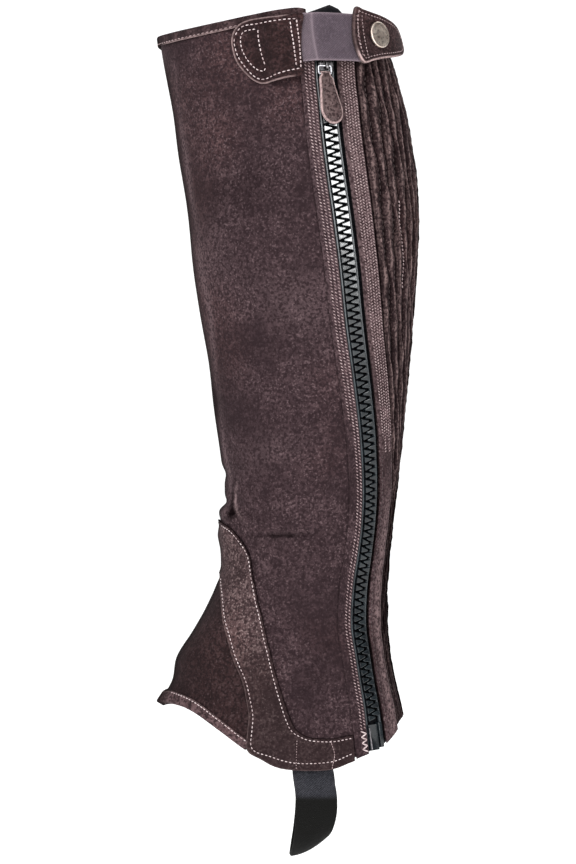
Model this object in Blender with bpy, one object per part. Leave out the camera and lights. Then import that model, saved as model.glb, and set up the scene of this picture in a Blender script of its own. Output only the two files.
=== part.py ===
"""Suede half chap for a left leg: a zipped gaiter of cut leather pieces, filled out and empty.

Lengths below are millimetres and are turned into metres where a mesh is made. The shin faces -X,
the back of the calf +X, the zipped outer side -Y, and +Z is up. The origin lies on the leg's axis
inside the closure strap. A place on the leather is a turn, in degrees round the leg from the shin
line over the outer side, and a height.
"""

import math
from collections import namedtuple

import bmesh
import bpy
import numpy as np
from mathutils import Matrix, Vector

MM = 0.001
GAP = 0.35

# Leather: panel and overlay thickness, and the clearances of what lies on the panels
LEATHER = 2.0
OVERLAY = 1.0
STRIP_CLEAR = 0.65
BINDING_CLEAR = 0.7
EDGE_CLEAR = 0.6
BINDING_DROP = 5.5
BINDING_ROOF = 1.0
BINDING_ROUND = 0.45
TOP_AT_ZIP = 15.0
SHIN_SEAM_TURN = -9.0
VAMP_BINDING_TURN = 69.4

# Zip: distances round the leg from its centre line, positive towards the calf
ZIP_PANEL_EDGE = -5.8
ZIP_PANEL_BACK_EDGE = 8.0
FRONT_STRIP_EDGES = (-14.0, -6.0)
BACK_BAND_EDGES = (7.0, 18.0)
RIB_START = 18.6
TAPE_EDGES = (-12.0, 13.5)
TAPE_THICKNESS = 0.9
CHAIN_HALF_WIDTH = 4.2
CHAIN_RISE = 1.6
CHAIN_BEVEL = (1.4, 0.7)
CHAIN_TOP_HEIGHT = 11.0
ZIP_BOX_HEIGHT = 16.0
ZIP_BOX_EDGES = (-5.2, 6.2)
ZIP_BOX_RISE = 2.2
ZIP_BOX_BEVEL = 0.8

# Ribs of the stretch panel
RIB_COUNT = 16
RIB_STEPS = 4
RIB_CREST = 0.9
RIB_VALLEY = -0.7
RIB_FREE_TOP = 9.0
RIB_FADE_TOP = 8.0
RIB_FADE_HEM = 60.0
RIB_HEM_SHARE = 0.25

# Closure strap over the top of the zip, and its snap
CLOSURE_POINTS = 34
CLOSURE_OUT = 5.6
BASE_THICKNESS = 1.6
BASE_LIFT_TURNS = (80.0, 86.0)
BASE_LIFT_DROP = 12.0
BASE_LIFT_LENGTH = 6.0
ELASTIC_THICKNESS = 1.4
ELASTIC_TURNS = (91.5, 133.0)
ELASTIC_HEIGHTS = (-14.2, 13.4)
ELASTIC_RISE_TURN = 101.2
ELASTIC_RISE_LEAN = 0.118
ELASTIC_RISE_LENGTH = 7.5
ELASTIC_RISE_ROWS = (-1.7, 8.3)
SNAP_TAB_THICKNESS = 2.5
SNAP_TURN = 142.3
SNAP_HEIGHT = 1.2
STUD_RADIUS = 3.3
STUD_HEAD_RADIUS = 5.8
STUD_HEAD_HEIGHT = 1.1
STUD_HEAD_SLOPE = 0.5

# Slider, its crown, and the pull that swings in it
SLIDER_HEIGHT = -16.9
SLIDER_ENDS = (-3.0, 10.2)
SLIDER_HALF_WIDTH = 5.4
SLIDER_TOP = 3.5
SLIDER_CLEAR = 0.5
SLIDER_LIP = -0.2
SLIDER_BEVEL = 0.6
CROWN_TOP = 5.9
CROWN_ROOF = 5.2
CROWN_HALF_LENGTH = 2.4
CROWN_HALF_OPENING = 1.4
CROWN_HALF_WIDTH = 1.2
CROWN_BEVEL = 0.5
PULL_AXIS_OUT = 4.4
PULL_LEAN = math.radians(11.0)
PULL_THICKNESS = 2.6
TUNNEL_RADIUS = 0.9
BAIL_WIRE_RADIUS = 0.55
BAIL_HALF_WIDTH = 3.7
BAIL_DROP = 4.5
BAIL_CORNER = 1.0

# Strap under the boot
STRAP_WIDTH = 23.5
STRAP_THICKNESS = 1.8
STRAP_FREE_HEIGHT = -430.0
STRAP_BLEND = 18.0
STRAP_POINTS = 41

# How many points the walls take
PANEL_ROWS = 29
PANEL_ROW_SPREAD = 1.3
PANEL_HOLD = 3
STRETCH_ROWS = 23
EDGE_POINTS = 40
SEAM_POINTS = 15
HEM_POINTS = 6
VAMP_CORNER = 8
ZIP_ROWS = 36
STRIP_POINTS = 67
TOP_BINDING_POINTS = 42
VAMP_BINDING_POINTS = 30
PLATE_RINGS = (0.95, 0.62, 0.3)

LegSection = namedtuple("LegSection", "height front back widest half_depth")
LEG = [
    LegSection(-425, -92.0, 80.0, 11, 45.5),
    LegSection(-400, -82.0, 75.0, 11, 45.0),
    LegSection(-377, -70.2, 69.6, 12, 44.2),
    LegSection(-364, -62.3, 66.2, 12, 43.6),
    LegSection(-350, -59.4, 63.2, 13, 42.9),
    LegSection(-335, -50.3, 61.4, 13, 42.2),
    LegSection(-320, -41.8, 61.0, 14, 41.6),
    LegSection(-306, -35.8, 61.2, 15, 41.3),
    LegSection(-294, -34.0, 62.1, 16, 41.3),
    LegSection(-272, -35.6, 64.3, 17, 41.7),
    LegSection(-258, -32.2, 66.0, 18, 42.3),
    LegSection(-240, -33.5, 68.1, 19, 43.5),
    LegSection(-210, -37.6, 71.1, 20, 46.0),
    LegSection(-180, -41.4, 73.9, 20, 48.5),
    LegSection(-150, -46.5, 76.4, 19, 51.0),
    LegSection(-120, -50.7, 78.6, 18, 53.0),
    LegSection(-90, -53.8, 78.9, 16, 54.0),
    LegSection(-65, -58.0, 76.6, 13, 54.0),
    LegSection(-40, -61.3, 72.5, 8, 53.0),
    LegSection(-20, -64.8, 67.2, 3, 51.5),
    LegSection(0, -68.5, 61.5, 0, 50.0),
    LegSection(25, -71.5, 58.0, 0, 49.0),
]

EdgeHeight = namedtuple("EdgeHeight", "turn height")
TOP_EDGE = [
    EdgeHeight(0, 6.0), EdgeHeight(27, 5.8), EdgeHeight(41, 6.7), EdgeHeight(61, 9.3),
    EdgeHeight(77, 12.6), EdgeHeight(92, 15.8), EdgeHeight(101, 16.6), EdgeHeight(108, 15.0),
    EdgeHeight(130, 12.5), EdgeHeight(150, 9.5), EdgeHeight(180, 7.0),
]
HEM_EDGE = [
    EdgeHeight(0, -376.5), EdgeHeight(25, -375.0), EdgeHeight(45, -380.0), EdgeHeight(60, -389.8),
    EdgeHeight(73, -403.0), EdgeHeight(80, -409.3), EdgeHeight(90, -412.2), EdgeHeight(107, -410.0),
    EdgeHeight(120, -405.0), EdgeHeight(135, -400.5), EdgeHeight(148, -393.0),
    EdgeHeight(155, -386.5), EdgeHeight(165, -381.0), EdgeHeight(180, -378.5),
]

LineTurn = namedtuple("LineTurn", "height turn")
ZIP_LINE = [
    LineTurn(-425, 133.5), LineTurn(-400, 133.2), LineTurn(-366, 133.8), LineTurn(-347, 132.8),
    LineTurn(-327, 130.8), LineTurn(-308, 131.5), LineTurn(-289, 133.3), LineTurn(-275, 134.4),
    LineTurn(-263, 133.8), LineTurn(-230, 128.0), LineTurn(-198, 120.8), LineTurn(-166, 114.4),
    LineTurn(-134, 110.3), LineTurn(-102, 106.9), LineTurn(-75, 105.4), LineTurn(-52, 106.0),
    LineTurn(-35, 108.0), LineTurn(-16, 111.0), LineTurn(0, 114.5), LineTurn(25, 120.0),
]
STRETCH_BACK_LINE = [
    LineTurn(-425, 239.5), LineTurn(-400, 239.5), LineTurn(-330, 250.0), LineTurn(-259, 254.0),
    LineTurn(-175, 243.0), LineTurn(-90, 239.0), LineTurn(25, 236.0),
]
VAMP_SEAM = [
    EdgeHeight(0, -286.5), EdgeHeight(20, -288.5), EdgeHeight(32, -295.5), EdgeHeight(40.5, -303.5),
    EdgeHeight(47, -314.5), EdgeHeight(54.5, -325.5), EdgeHeight(61.5, -336.5),
    EdgeHeight(68.5, -351.0), EdgeHeight(73, -364.5), EdgeHeight(76.4, -376.0),
    EdgeHeight(78, -388.0), EdgeHeight(79, -406.0),
]

TapeEnd = namedtuple("TapeEnd", "low high")
TAPE_ENDS = [
    TapeEnd(-403.0, 14.5), TapeEnd(-401.5, 17.0), TapeEnd(-400.0, 19.6), TapeEnd(-397.5, 17.6),
    TapeEnd(-394.5, 13.0),
]

StripStation = namedtuple("StripStation", "back_turn back_height front_turn front_height")
ANKLE_STRIP = [
    StripStation(0, -271, 0, -302),
    StripStation(28, -274, 12, -303),
    StripStation(40, -280, 24, -311),
    StripStation(48, -288.5, 33, -319),
    StripStation(53, -301, 41, -328),
    StripStation(60, -314, 49, -337),
    StripStation(67, -326, 56, -347),
    StripStation(74.5, -343, 62.5, -359),
    StripStation(79, -358, 67, -371),
    StripStation(83, -371, 69.8, -381),
    StripStation(86, -381, 70.4, -389),
    StripStation(88.5, -387.5, 71.6, -400.8),
    StripStation(92.5, -391, 76.5, -407.0),
    StripStation(98, -392.5, 85.5, -411.3),
    StripStation(107, -392.7, 104, -410.4),
    StripStation(115, -391.5, 115, -406.9),
    StripStation(118.3, -391.0, 118.3, -405.7),
]

Fold = namedtuple("Fold", "turn height reach spread slope rise")
FOLDS = [
    Fold(72, -279.5, 26, 3.5, 0.02, -1.0),
    Fold(76, -271.0, 26, 6.0, 0.02, 0.8),
    Fold(34, -262.0, 12, 4.0, -0.35, -1.3),
    Fold(22, -268.0, 16, 5.0, 0.0, 0.9),
    Fold(100, -352.0, 16, 5.0, 0.9, -0.7),
    Fold(-66, -276.0, 30, 4.0, 0.05, -1.1),
    Fold(-72, -267.0, 24, 6.0, 0.03, 0.8),
    Fold(-30, -264.0, 12, 4.5, 0.3, -1.0),
]

ClosureCorner = namedtuple("ClosureCorner", "turn height")
CLOSURE_BASE = [
    ClosureCorner(102.6, 15.4), ClosureCorner(95.7, 15.7), ClosureCorner(85.8, 14.0),
    ClosureCorner(79.0, 12.6), ClosureCorner(73.4, 10.6), ClosureCorner(69.6, 7.2),
    ClosureCorner(67.2, 2.6), ClosureCorner(66.2, -3.5), ClosureCorner(66.5, -9.0),
    ClosureCorner(68.2, -15.0), ClosureCorner(71.6, -21.2), ClosureCorner(74.6, -24.8),
    ClosureCorner(78.0, -26.5), ClosureCorner(82.5, -25.8), ClosureCorner(90.0, -23.8),
    ClosureCorner(98.3, -21.2), ClosureCorner(99.6, -9.0), ClosureCorner(101.2, 4.0),
]
SNAP_TAB = [
    ClosureCorner(129.3, 17.0), ClosureCorner(134.2, 16.1), ClosureCorner(139.5, 14.9),
    ClosureCorner(145.4, 13.8), ClosureCorner(152.3, 12.4), ClosureCorner(160.5, 10.4),
    ClosureCorner(167.5, 7.2), ClosureCorner(172.2, 2.0), ClosureCorner(171.8, -3.9),
    ClosureCorner(165.6, -8.0), ClosureCorner(155.9, -10.2), ClosureCorner(142.9, -12.3),
    ClosureCorner(135.5, -14.0), ClosureCorner(129.1, -15.6), ClosureCorner(126.8, -10.0),
    ClosureCorner(126.2, -2.0), ClosureCorner(127.2, 8.0),
]

CapRing = namedtuple("CapRing", "radius rise")
SNAP_CAP = [
    CapRing(0.0, 0.0), CapRing(6.9, 0.0), CapRing(7.4, 0.4), CapRing(7.5, 0.9), CapRing(7.1, 1.4),
    CapRing(6.2, 1.5), CapRing(4.0, 1.75), CapRing(0.0, 1.9),
]

PullWidth = namedtuple("PullWidth", "down half_width")
PULL_TAB = [
    PullWidth(3.4, 2.7), PullWidth(5.4, 2.8), PullWidth(6.8, 4.3), PullWidth(10.0, 4.4),
    PullWidth(15.0, 5.0), PullWidth(21.0, 6.0), PullWidth(25.0, 6.1), PullWidth(28.4, 4.9),
    PullWidth(30.6, 2.2),
]

StrapStation = namedtuple("StrapStation", "side height forward tilt")
STRAP = [
    StrapStation(-41.6, -395.0, 18.6, 0.0), StrapStation(-42.0, -403.0, 18.6, 0.0),
    StrapStation(-41.9, -412.5, 18.8, 0.0), StrapStation(-42.3, -424.0, 20.4, 3.0),
    StrapStation(-39.5, -437.0, 20.6, 9.0), StrapStation(-31.5, -448.5, 19.2, 18.0),
    StrapStation(-17.5, -456.0, 17.2, 26.0), StrapStation(0.0, -458.4, 16.2, 30.0),
    StrapStation(17.5, -456.0, 17.2, 26.0), StrapStation(31.5, -448.5, 19.2, 18.0),
    StrapStation(39.5, -437.0, 20.6, 9.0), StrapStation(42.3, -424.0, 20.4, 3.0),
    StrapStation(41.9, -412.5, 18.8, 0.0), StrapStation(42.0, -403.0, 18.6, 0.0),
    StrapStation(41.6, -395.0, 18.6, 0.0),
]


def smooth(rows, key, column, at):
    """Read a table's column at places along its key column, on a smooth curve through its rows."""
    xs = np.array([getattr(row, key) for row in rows], float)
    ys = np.array([getattr(row, column) for row in rows], float)
    slopes = np.gradient(ys, xs)
    at = np.clip(np.asarray(at, float), xs[0], xs[-1])
    low = np.clip(np.searchsorted(xs, at) - 1, 0, len(xs) - 2)
    span = xs[low + 1] - xs[low]
    t = (at - xs[low]) / span
    return (
        (1 + 2 * t) * (1 - t) ** 2 * ys[low]
        + t * (1 - t) ** 2 * span * slopes[low]
        + t * t * (3 - 2 * t) * ys[low + 1]
        + t * t * (t - 1) * span * slopes[low + 1]
    )


def ease(share):
    """Smooth step from 0 to 1 as a share goes from 0 to 1."""
    share = np.clip(share, 0.0, 1.0)
    return share * share * (3 - 2 * share)


def mirrored_turn(turn):
    """Fold any turn into 0 to 180, so one table serves the outer and the inner side."""
    turn = np.mod(np.asarray(turn, float), 360.0)
    return np.where(turn > 180.0, 360.0 - turn, turn)


def top_height(turn):
    """Height of the bound top edge."""
    return smooth(TOP_EDGE, "turn", "height", mirrored_turn(turn))


def hem_height(turn):
    """Height of the hem."""
    return smooth(HEM_EDGE, "turn", "height", mirrored_turn(turn))


def zip_turn(height):
    """Turn of the zip's centre line."""
    return smooth(ZIP_LINE, "height", "turn", height)


def leg_point(turn, height):
    """Point of the smooth leg at a turn and a height: two half ellipses that share a depth."""
    front = smooth(LEG, "height", "front", height)
    back = smooth(LEG, "height", "back", height)
    widest = smooth(LEG, "height", "widest", height)
    depth = smooth(LEG, "height", "half_depth", height)
    angle = np.radians(turn)
    reach = np.where(np.cos(angle) > 0, widest - front, back - widest)
    return np.stack([widest - reach * np.cos(angle), -depth * np.sin(angle), height + 0 * angle], -1)


def leg_axes(turn, height):
    """Unit vectors along the turn and along the outward normal."""
    along = leg_point(turn + 0.5, height) - leg_point(turn - 0.5, height)
    up = leg_point(turn, height + 0.5) - leg_point(turn, height - 0.5)
    normal = np.cross(along, up)
    along = along / np.linalg.norm(along, axis=-1, keepdims=True)
    return along, normal / np.linalg.norm(normal, axis=-1, keepdims=True)


def fold_rise(turn, height):
    """How far the leather's creases and bulges lift it off the smooth leg."""
    turn = np.mod(np.asarray(turn, float) + 180.0, 360.0) - 180.0
    rise = np.zeros(np.broadcast(turn, height).shape)
    for fold in FOLDS:
        across = (height - fold.height - fold.slope * (turn - fold.turn)) / fold.spread
        rise += fold.rise * np.exp(-across ** 2 - ((turn - fold.turn) / fold.reach) ** 2)
    return rise


def skin(places, out):
    """Points in mm at places (turn, height), a distance out from the leather's outer face."""
    turn, height = places[..., 0], places[..., 1]
    _, normal = leg_axes(turn, height)
    return leg_point(turn, height) + normal * (out + fold_rise(turn, height))[..., None]


def walk(turn, height, distance, steps=6):
    """Turn reached after a distance in mm round the leg at one height."""
    turn = np.asarray(turn, float) + 0 * np.asarray(height, float)
    for _ in range(steps):
        speed = np.linalg.norm(leg_point(turn + 0.5, height) - leg_point(turn - 0.5, height), axis=-1)
        middle = turn + 0.5 * distance / steps / speed
        speed = np.linalg.norm(leg_point(middle + 0.5, height) - leg_point(middle - 0.5, height), axis=-1)
        turn = turn + distance / steps / speed
    return turn


def line(turn, height):
    """Join turns and heights into one row of places."""
    turn, height = np.broadcast_arrays(np.asarray(turn, float), np.asarray(height, float))
    return np.stack([turn, height], -1)


def shares(row):
    """How far along its row each place lies, from 0 to 1."""
    steps = np.diff(row, axis=0) * (0.95, 1.0)
    length = np.concatenate([[0.0], np.cumsum(np.linalg.norm(steps, axis=1))])
    return length / length[-1]


def resample(row, fractions):
    """Places at fractions of a row's length."""
    length = shares(row)
    at = np.asarray(fractions)
    return np.stack([np.interp(at, length, row[:, 0]), np.interp(at, length, row[:, 1])], -1)


def patch(first, second, start, end, hold=1):
    """Grid of places that fills four edge rows.

    The first row and the start row are kept point by point; the rows opposite them follow. A
    higher hold keeps the bends of the start and end rows nearer to their own sides.
    """
    u, v = shares(first), shares(start)
    low, high = first[None], resample(second, u)[None]
    left, right = start[:, None], resample(end, v)[:, None]
    u, v = u[None, :, None], v[:, None, None]
    left_bend = left - (1 - v) * low[:, :1] - v * high[:, :1]
    right_bend = right - (1 - v) * low[:, -1:] - v * high[:, -1:]
    return (1 - v) * low + v * high + (1 - u) ** hold * left_bend + u ** hold * right_bend


def zip_side_row(distance, low_clear, high_clear, count=60, last_step=None):
    """Row of places beside the zip, from above the hem to below the top edge.

    Both ends start from a guess and are moved onto the edge's own height.
    """
    low, high = hem_height(120.0), top_height(120.0)
    for _ in range(4):
        low = float(hem_height(walk(zip_turn(low), low, distance))) + low_clear
        high = float(top_height(walk(zip_turn(high), high, distance))) - high_clear
    heights = np.linspace(low, high, count)
    if last_step:
        heights = np.append(np.linspace(low, high - last_step, count - 1), high)
    return line(walk(zip_turn(heights), heights, distance), heights)


def add_object(name, bm, material, matrix=None):
    """Turn a bmesh in metres into a shaded object with its material."""
    mesh = bpy.data.meshes.new(name)
    bmesh.ops.recalc_face_normals(bm, faces=bm.faces)
    bm.to_mesh(mesh)
    bm.free()
    mesh.materials.append(material)
    mesh.shade_smooth()
    mesh.set_sharp_from_angle(angle=math.radians(42))
    item = bpy.data.objects.new(name, mesh)
    bpy.context.scene.collection.objects.link(item)
    if matrix is not None:
        item.matrix_world = matrix
    return item


def add_grid(bm, points):
    """Add a grid of quads and return its vertices, row by row."""
    verts = [[bm.verts.new(Vector(point) * MM) for point in row] for row in points]
    for low, high in zip(verts, verts[1:]):
        for a, b, c, d in zip(low, low[1:], high[1:], high):
            bm.faces.new((a, b, c, d))
    return verts


def stitch(bm, first, second):
    """Close the rim between two rows of vertices, which may differ in count."""
    i, j = 0, 0
    last_i, last_j = len(first) - 1, len(second) - 1
    while i < last_i or j < last_j:
        if last_i == last_j:
            bm.faces.new((first[i], first[i + 1], second[j + 1], second[j]))
            i, j = i + 1, j + 1
        elif j == last_j or (i < last_i and (i + 1) * last_j <= (j + 1) * last_i):
            bm.faces.new((first[i], first[i + 1], second[j]))
            i += 1
        else:
            bm.faces.new((first[i], second[j + 1], second[j]))
            j += 1


def wall(name, outer, inner, material):
    """Closed wall between an outer and an inner grid of points."""
    bm = bmesh.new()
    skins = [add_grid(bm, outer), add_grid(bm, inner)]
    for side in (0, -1):
        stitch(bm, skins[0][side], skins[1][side])
        stitch(bm, [row[side] for row in skins[0]], [row[side] for row in skins[1]])
    return add_object(name, bm, material)


def panel_wall(name, places, material):
    """Leather panel whose outer face lies on the leg."""
    return wall(name, skin(places, 0.0), skin(places, -LEATHER), material)


def overlay_wall(name, places, clear, material):
    """Strip of leather that lies on the panels."""
    return wall(name, skin(places, clear + OVERLAY), skin(places, clear), material)


def swept(name, sections, material):
    """Closed sweep through sections, each a ring of the same number of points."""
    bm = bmesh.new()
    rings = [[bm.verts.new(Vector(point) * MM) for point in section] for section in sections]
    for low, high in zip(rings, rings[1:]):
        for k in range(len(low)):
            bm.faces.new((low[k - 1], low[k], high[k], high[k - 1]))
    bm.faces.new(rings[0])
    bm.faces.new(rings[-1])
    return add_object(name, bm, material)


def rounded_outline(corners, count):
    """Closed smooth outline through corner places, evenly spaced."""
    base = np.array([(corner.turn, corner.height) for corner in corners], float)
    before, after, beyond = np.roll(base, 1, 0), np.roll(base, -1, 0), np.roll(base, -2, 0)
    points = []
    for t in np.linspace(0, 1, 6, endpoint=False):
        points.append(
            0.5 * (2 * base + (after - before) * t
                   + (2 * before - 5 * base + 4 * after - beyond) * t ** 2
                   + (3 * base - before - 3 * after + beyond) * t ** 3)
        )
    dense = np.stack(points, 1).reshape(-1, 2)
    closed = np.vstack([dense, dense[:1]])
    return resample(closed, np.linspace(0, 1, count, endpoint=False))


def plate(name, corners, thickness, out, material, edge_drop=0.35):
    """Cut leather piece with a rounded edge, on a height over the leg that out() gives."""
    count = CLOSURE_POINTS
    outline = rounded_outline(corners, count)
    centre = outline.mean(0)
    bm = bmesh.new()

    def ring(fraction, lift):
        places = centre + (outline - centre) * fraction
        return [bm.verts.new(Vector(p) * MM) for p in skin(places, out(places) + lift)]

    def middle(lift):
        place = centre[None]
        return bm.verts.new(Vector(skin(place, out(place) + lift)[0]) * MM)

    top = [ring(1.0, thickness - edge_drop)] + [ring(share, thickness) for share in PLATE_RINGS]
    low = [ring(1.0, 0.0)] + [ring(share, 0.0) for share in PLATE_RINGS[1:]]
    pairs = list(zip(top, top[1:])) + list(zip(low, low[1:])) + [(top[0], low[0])]
    for first, second in pairs:
        for k in range(count):
            bm.faces.new((first[k - 1], first[k], second[k], second[k - 1]))
    for rim, lift in ((top[-1], thickness), (low[-1], 0.0)):
        hub = middle(lift)
        for k in range(count):
            bm.faces.new((rim[k - 1], rim[k], hub))
    return add_object(name, bm, material)


def seat(turn, height, out):
    """Matrix of a fitting on the leather: X round the leg, Y up along it, Z outward."""
    place = np.array([turn, height], float)
    along, normal = leg_axes(place[0], place[1])
    origin = Vector(skin(place[None], np.array([out]))[0]) * MM
    x_axis, z_axis = Vector(along), Vector(normal)
    y_axis = z_axis.cross(x_axis)
    return Matrix.Translation(origin) @ Matrix((x_axis, y_axis, z_axis)).transposed().to_4x4()


def zip_seat(height, out, reach=6.0):
    """Matrix of a fitting on the zip: X across the chain, Y up along it, Z outward."""
    heights = np.array([height - reach, height, height + reach])
    low, middle, high = skin(line(zip_turn(heights), heights), np.zeros(3))
    normal = Vector(leg_axes(zip_turn(height), height)[1])
    y_axis = Vector(high - low).normalized()
    x_axis = y_axis.cross(normal).normalized()
    z_axis = x_axis.cross(y_axis)
    origin = (Vector(middle) + z_axis * out) * MM
    return Matrix.Translation(origin) @ Matrix((x_axis, y_axis, z_axis)).transposed().to_4x4()


def extruded(bm, outline, depth, across):
    """Extrude a closed outline by a depth vector; across maps its two numbers to a point."""
    face = bm.faces.new([bm.verts.new(Vector(across(a, b)) * MM) for a, b in outline])
    moved = bmesh.ops.extrude_face_region(bm, geom=[face])["geom"]
    verts = [item for item in moved if isinstance(item, bmesh.types.BMVert)]
    bmesh.ops.translate(bm, verts=verts, vec=Vector(depth) * MM)


def turned(name, profile, material, matrix, sides=24):
    """Round fitting: a profile of (radius, height) points spun about Z."""
    bm = bmesh.new()
    verts = [bm.verts.new((radius * MM, 0.0, height * MM)) for radius, height in profile]
    edges = [bm.edges.new(pair) for pair in zip(verts, verts[1:])]
    bmesh.ops.spin(
        bm, geom=verts + edges, cent=(0, 0, 0), axis=(0, 0, 1), angle=2 * math.pi,
        steps=sides, use_merge=True,
    )
    bmesh.ops.remove_doubles(bm, verts=bm.verts, dist=0.00001)
    return add_object(name, bm, material, matrix)


def finish(name, colour, roughness, metallic=0.0):
    """Principled material in one plain colour."""
    material = bpy.data.materials.new(name)
    material.use_nodes = True
    shader = material.node_tree.nodes["Principled BSDF"]
    shader.inputs["Base Color"].default_value = (*colour, 1.0)
    shader.inputs["Roughness"].default_value = roughness
    shader.inputs["Metallic"].default_value = metallic
    return material


def seam_row(sign, shift):
    """Row of places along the seam over the instep, from the shin down to the hem on one side.

    A positive shift moves it up and back, off the vamp, by that many millimetres.
    """
    row = np.array([(sign * place.turn, place.height) for place in VAMP_SEAM], float)
    row = resample(row, np.linspace(0, 1, SEAM_POINTS))
    step = np.gradient(row, axis=0)
    step = step / np.linalg.norm(step, axis=1, keepdims=True)
    return row + shift * sign * np.stack([-step[:, 1], step[:, 0]], -1)


def leg_panel(name, sign, back_row, material):
    """Outer or inner leg panel, from the seam beside the shin to the zip or the stretch panel."""
    edge_turn = SHIN_SEAM_TURN + sign * 0.5 * GAP
    seam = np.vstack([seam_row(-1, GAP / 2)[:0:-1], seam_row(1, GAP / 2)])
    start_height = float(np.interp(edge_turn, seam[:, 0], seam[:, 1]))
    if sign > 0:
        bottom = seam[seam[:, 0] > edge_turn + 1.0]
    else:
        bottom = seam[seam[:, 0] < edge_turn - 1.0][::-1]
    turns = np.linspace(bottom[-1, 0], back_row[0, 0], HEM_POINTS)
    hem = line(turns, hem_height(turns) + BINDING_ROOF)
    bottom = np.vstack([[(edge_turn, start_height)], bottom[:-1], hem])
    turns = np.linspace(edge_turn, back_row[-1, 0], EDGE_POINTS)
    top = line(turns, top_height(turns) - BINDING_ROOF - EDGE_CLEAR)
    climb = np.linspace(0, 1, PANEL_ROWS) ** PANEL_ROW_SPREAD
    front = line(edge_turn, start_height + (top[0, 1] - start_height) * climb)
    panel_wall(name, patch(bottom, top, front, back_row, PANEL_HOLD), material)


def make_leg_panels(suede):
    """Outer panel, which wraps over the shin, and inner panel."""
    outer_back = zip_side_row(ZIP_PANEL_EDGE, BINDING_ROOF, BINDING_ROOF + EDGE_CLEAR)
    leg_panel("outer_panel", 1, outer_back, suede)
    inner_back = stretch_back_row(GAP)
    inner_back[:, 0] -= 360.0
    leg_panel("inner_panel", -1, inner_back, suede)


def stretch_back_row(distance=0.0):
    """Row of places up the inner side, where the stretch panel ends."""
    low, high = hem_height(-120.0), top_height(-120.0)
    for _ in range(4):
        low_turn = smooth(STRETCH_BACK_LINE, "height", "turn", low)
        low = float(hem_height(low_turn)) + BINDING_ROOF
        high_turn = smooth(STRETCH_BACK_LINE, "height", "turn", high)
        high = float(top_height(high_turn)) - BINDING_ROOF - EDGE_CLEAR
    heights = np.linspace(low, high, EDGE_POINTS)
    turns = smooth(STRETCH_BACK_LINE, "height", "turn", heights)
    return line(walk(turns, heights, distance), heights)


def make_stretch_panel(suede):
    """Leather gathered over elastic: ribs up its outer face, a plain face inside."""
    ends = (BINDING_ROOF, BINDING_ROOF + EDGE_CLEAR, STRETCH_ROWS, RIB_FREE_TOP)
    front = zip_side_row(ZIP_PANEL_BACK_EDGE, *ends)
    first_valley = zip_side_row(RIB_START, *ends)
    back = stretch_back_row()

    def between(start, end, count):
        low_turns = np.linspace(start[0, 0], end[0, 0], count)
        high_turns = np.linspace(start[-1, 0], end[-1, 0], count)
        low = line(low_turns, hem_height(low_turns) + BINDING_ROOF)
        high = line(high_turns, top_height(high_turns) - BINDING_ROOF - EDGE_CLEAR)
        return patch(low, high, start, end)

    flat = between(front, first_valley, 3)
    ribs = between(first_valley, back, RIB_COUNT * RIB_STEPS + 1)
    phase = np.arange(ribs.shape[1]) % RIB_STEPS / RIB_STEPS
    crest = RIB_VALLEY + (RIB_CREST - RIB_VALLEY) * np.sin(np.pi * phase) ** 0.8
    crest[0] = crest[-1] = 0.0
    height = ribs[..., 1]
    from_top = top_height(ribs[..., 0]) - height
    from_hem = height - hem_height(ribs[..., 0])
    fade = ease((from_top - RIB_FREE_TOP) / RIB_FADE_TOP)
    fade = fade * (RIB_HEM_SHARE + (1 - RIB_HEM_SHARE) * ease(from_hem / RIB_FADE_HEM))
    outer = np.concatenate([skin(flat, 0.0)[:, :-1], skin(ribs, crest * fade)], 1)
    inner_places = np.concatenate([flat[:, :-1], ribs[:, ::RIB_STEPS]], 1)
    wall("stretch_panel", outer, skin(inner_places, -LEATHER), suede)


def make_vamp(suede):
    """Wedge over the instep, wrapped round the front from seam to seam."""
    outer_seam, inner_seam = seam_row(1, -GAP / 2), seam_row(-1, -GAP / 2)
    over = np.vstack([inner_seam[VAMP_CORNER:0:-1], outer_seam[:VAMP_CORNER + 1]])
    turns = np.linspace(inner_seam[-1, 0], outer_seam[-1, 0], EDGE_POINTS)
    hem = line(turns, hem_height(turns) + BINDING_ROOF + 2 * EDGE_CLEAR)
    outer_seam[-1, 1], inner_seam[-1, 1] = hem[-1, 1], hem[0, 1]
    panel_wall("vamp", patch(over, hem, inner_seam[VAMP_CORNER:], outer_seam[VAMP_CORNER:]), suede)


def binding_section(turn, height, up):
    """U of folded leather over an edge; up is +1 for a top edge and -1 for a hem."""
    outer_face, inner_face = BINDING_CLEAR + OVERLAY, -LEATHER - BINDING_CLEAR - OVERLAY
    shape = [
        (outer_face, BINDING_DROP), (outer_face, BINDING_ROUND), (outer_face - BINDING_ROUND, 0.0),
        (inner_face + BINDING_ROUND, 0.0), (inner_face, BINDING_ROUND), (inner_face, BINDING_DROP),
        (inner_face + OVERLAY, BINDING_DROP), (inner_face + OVERLAY, BINDING_ROOF),
        (BINDING_CLEAR, BINDING_ROOF), (BINDING_CLEAR, BINDING_DROP),
    ]
    places = np.array([(turn, height - up * down) for _, down in shape])
    return skin(places, np.array([out for out, _ in shape]))


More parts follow.
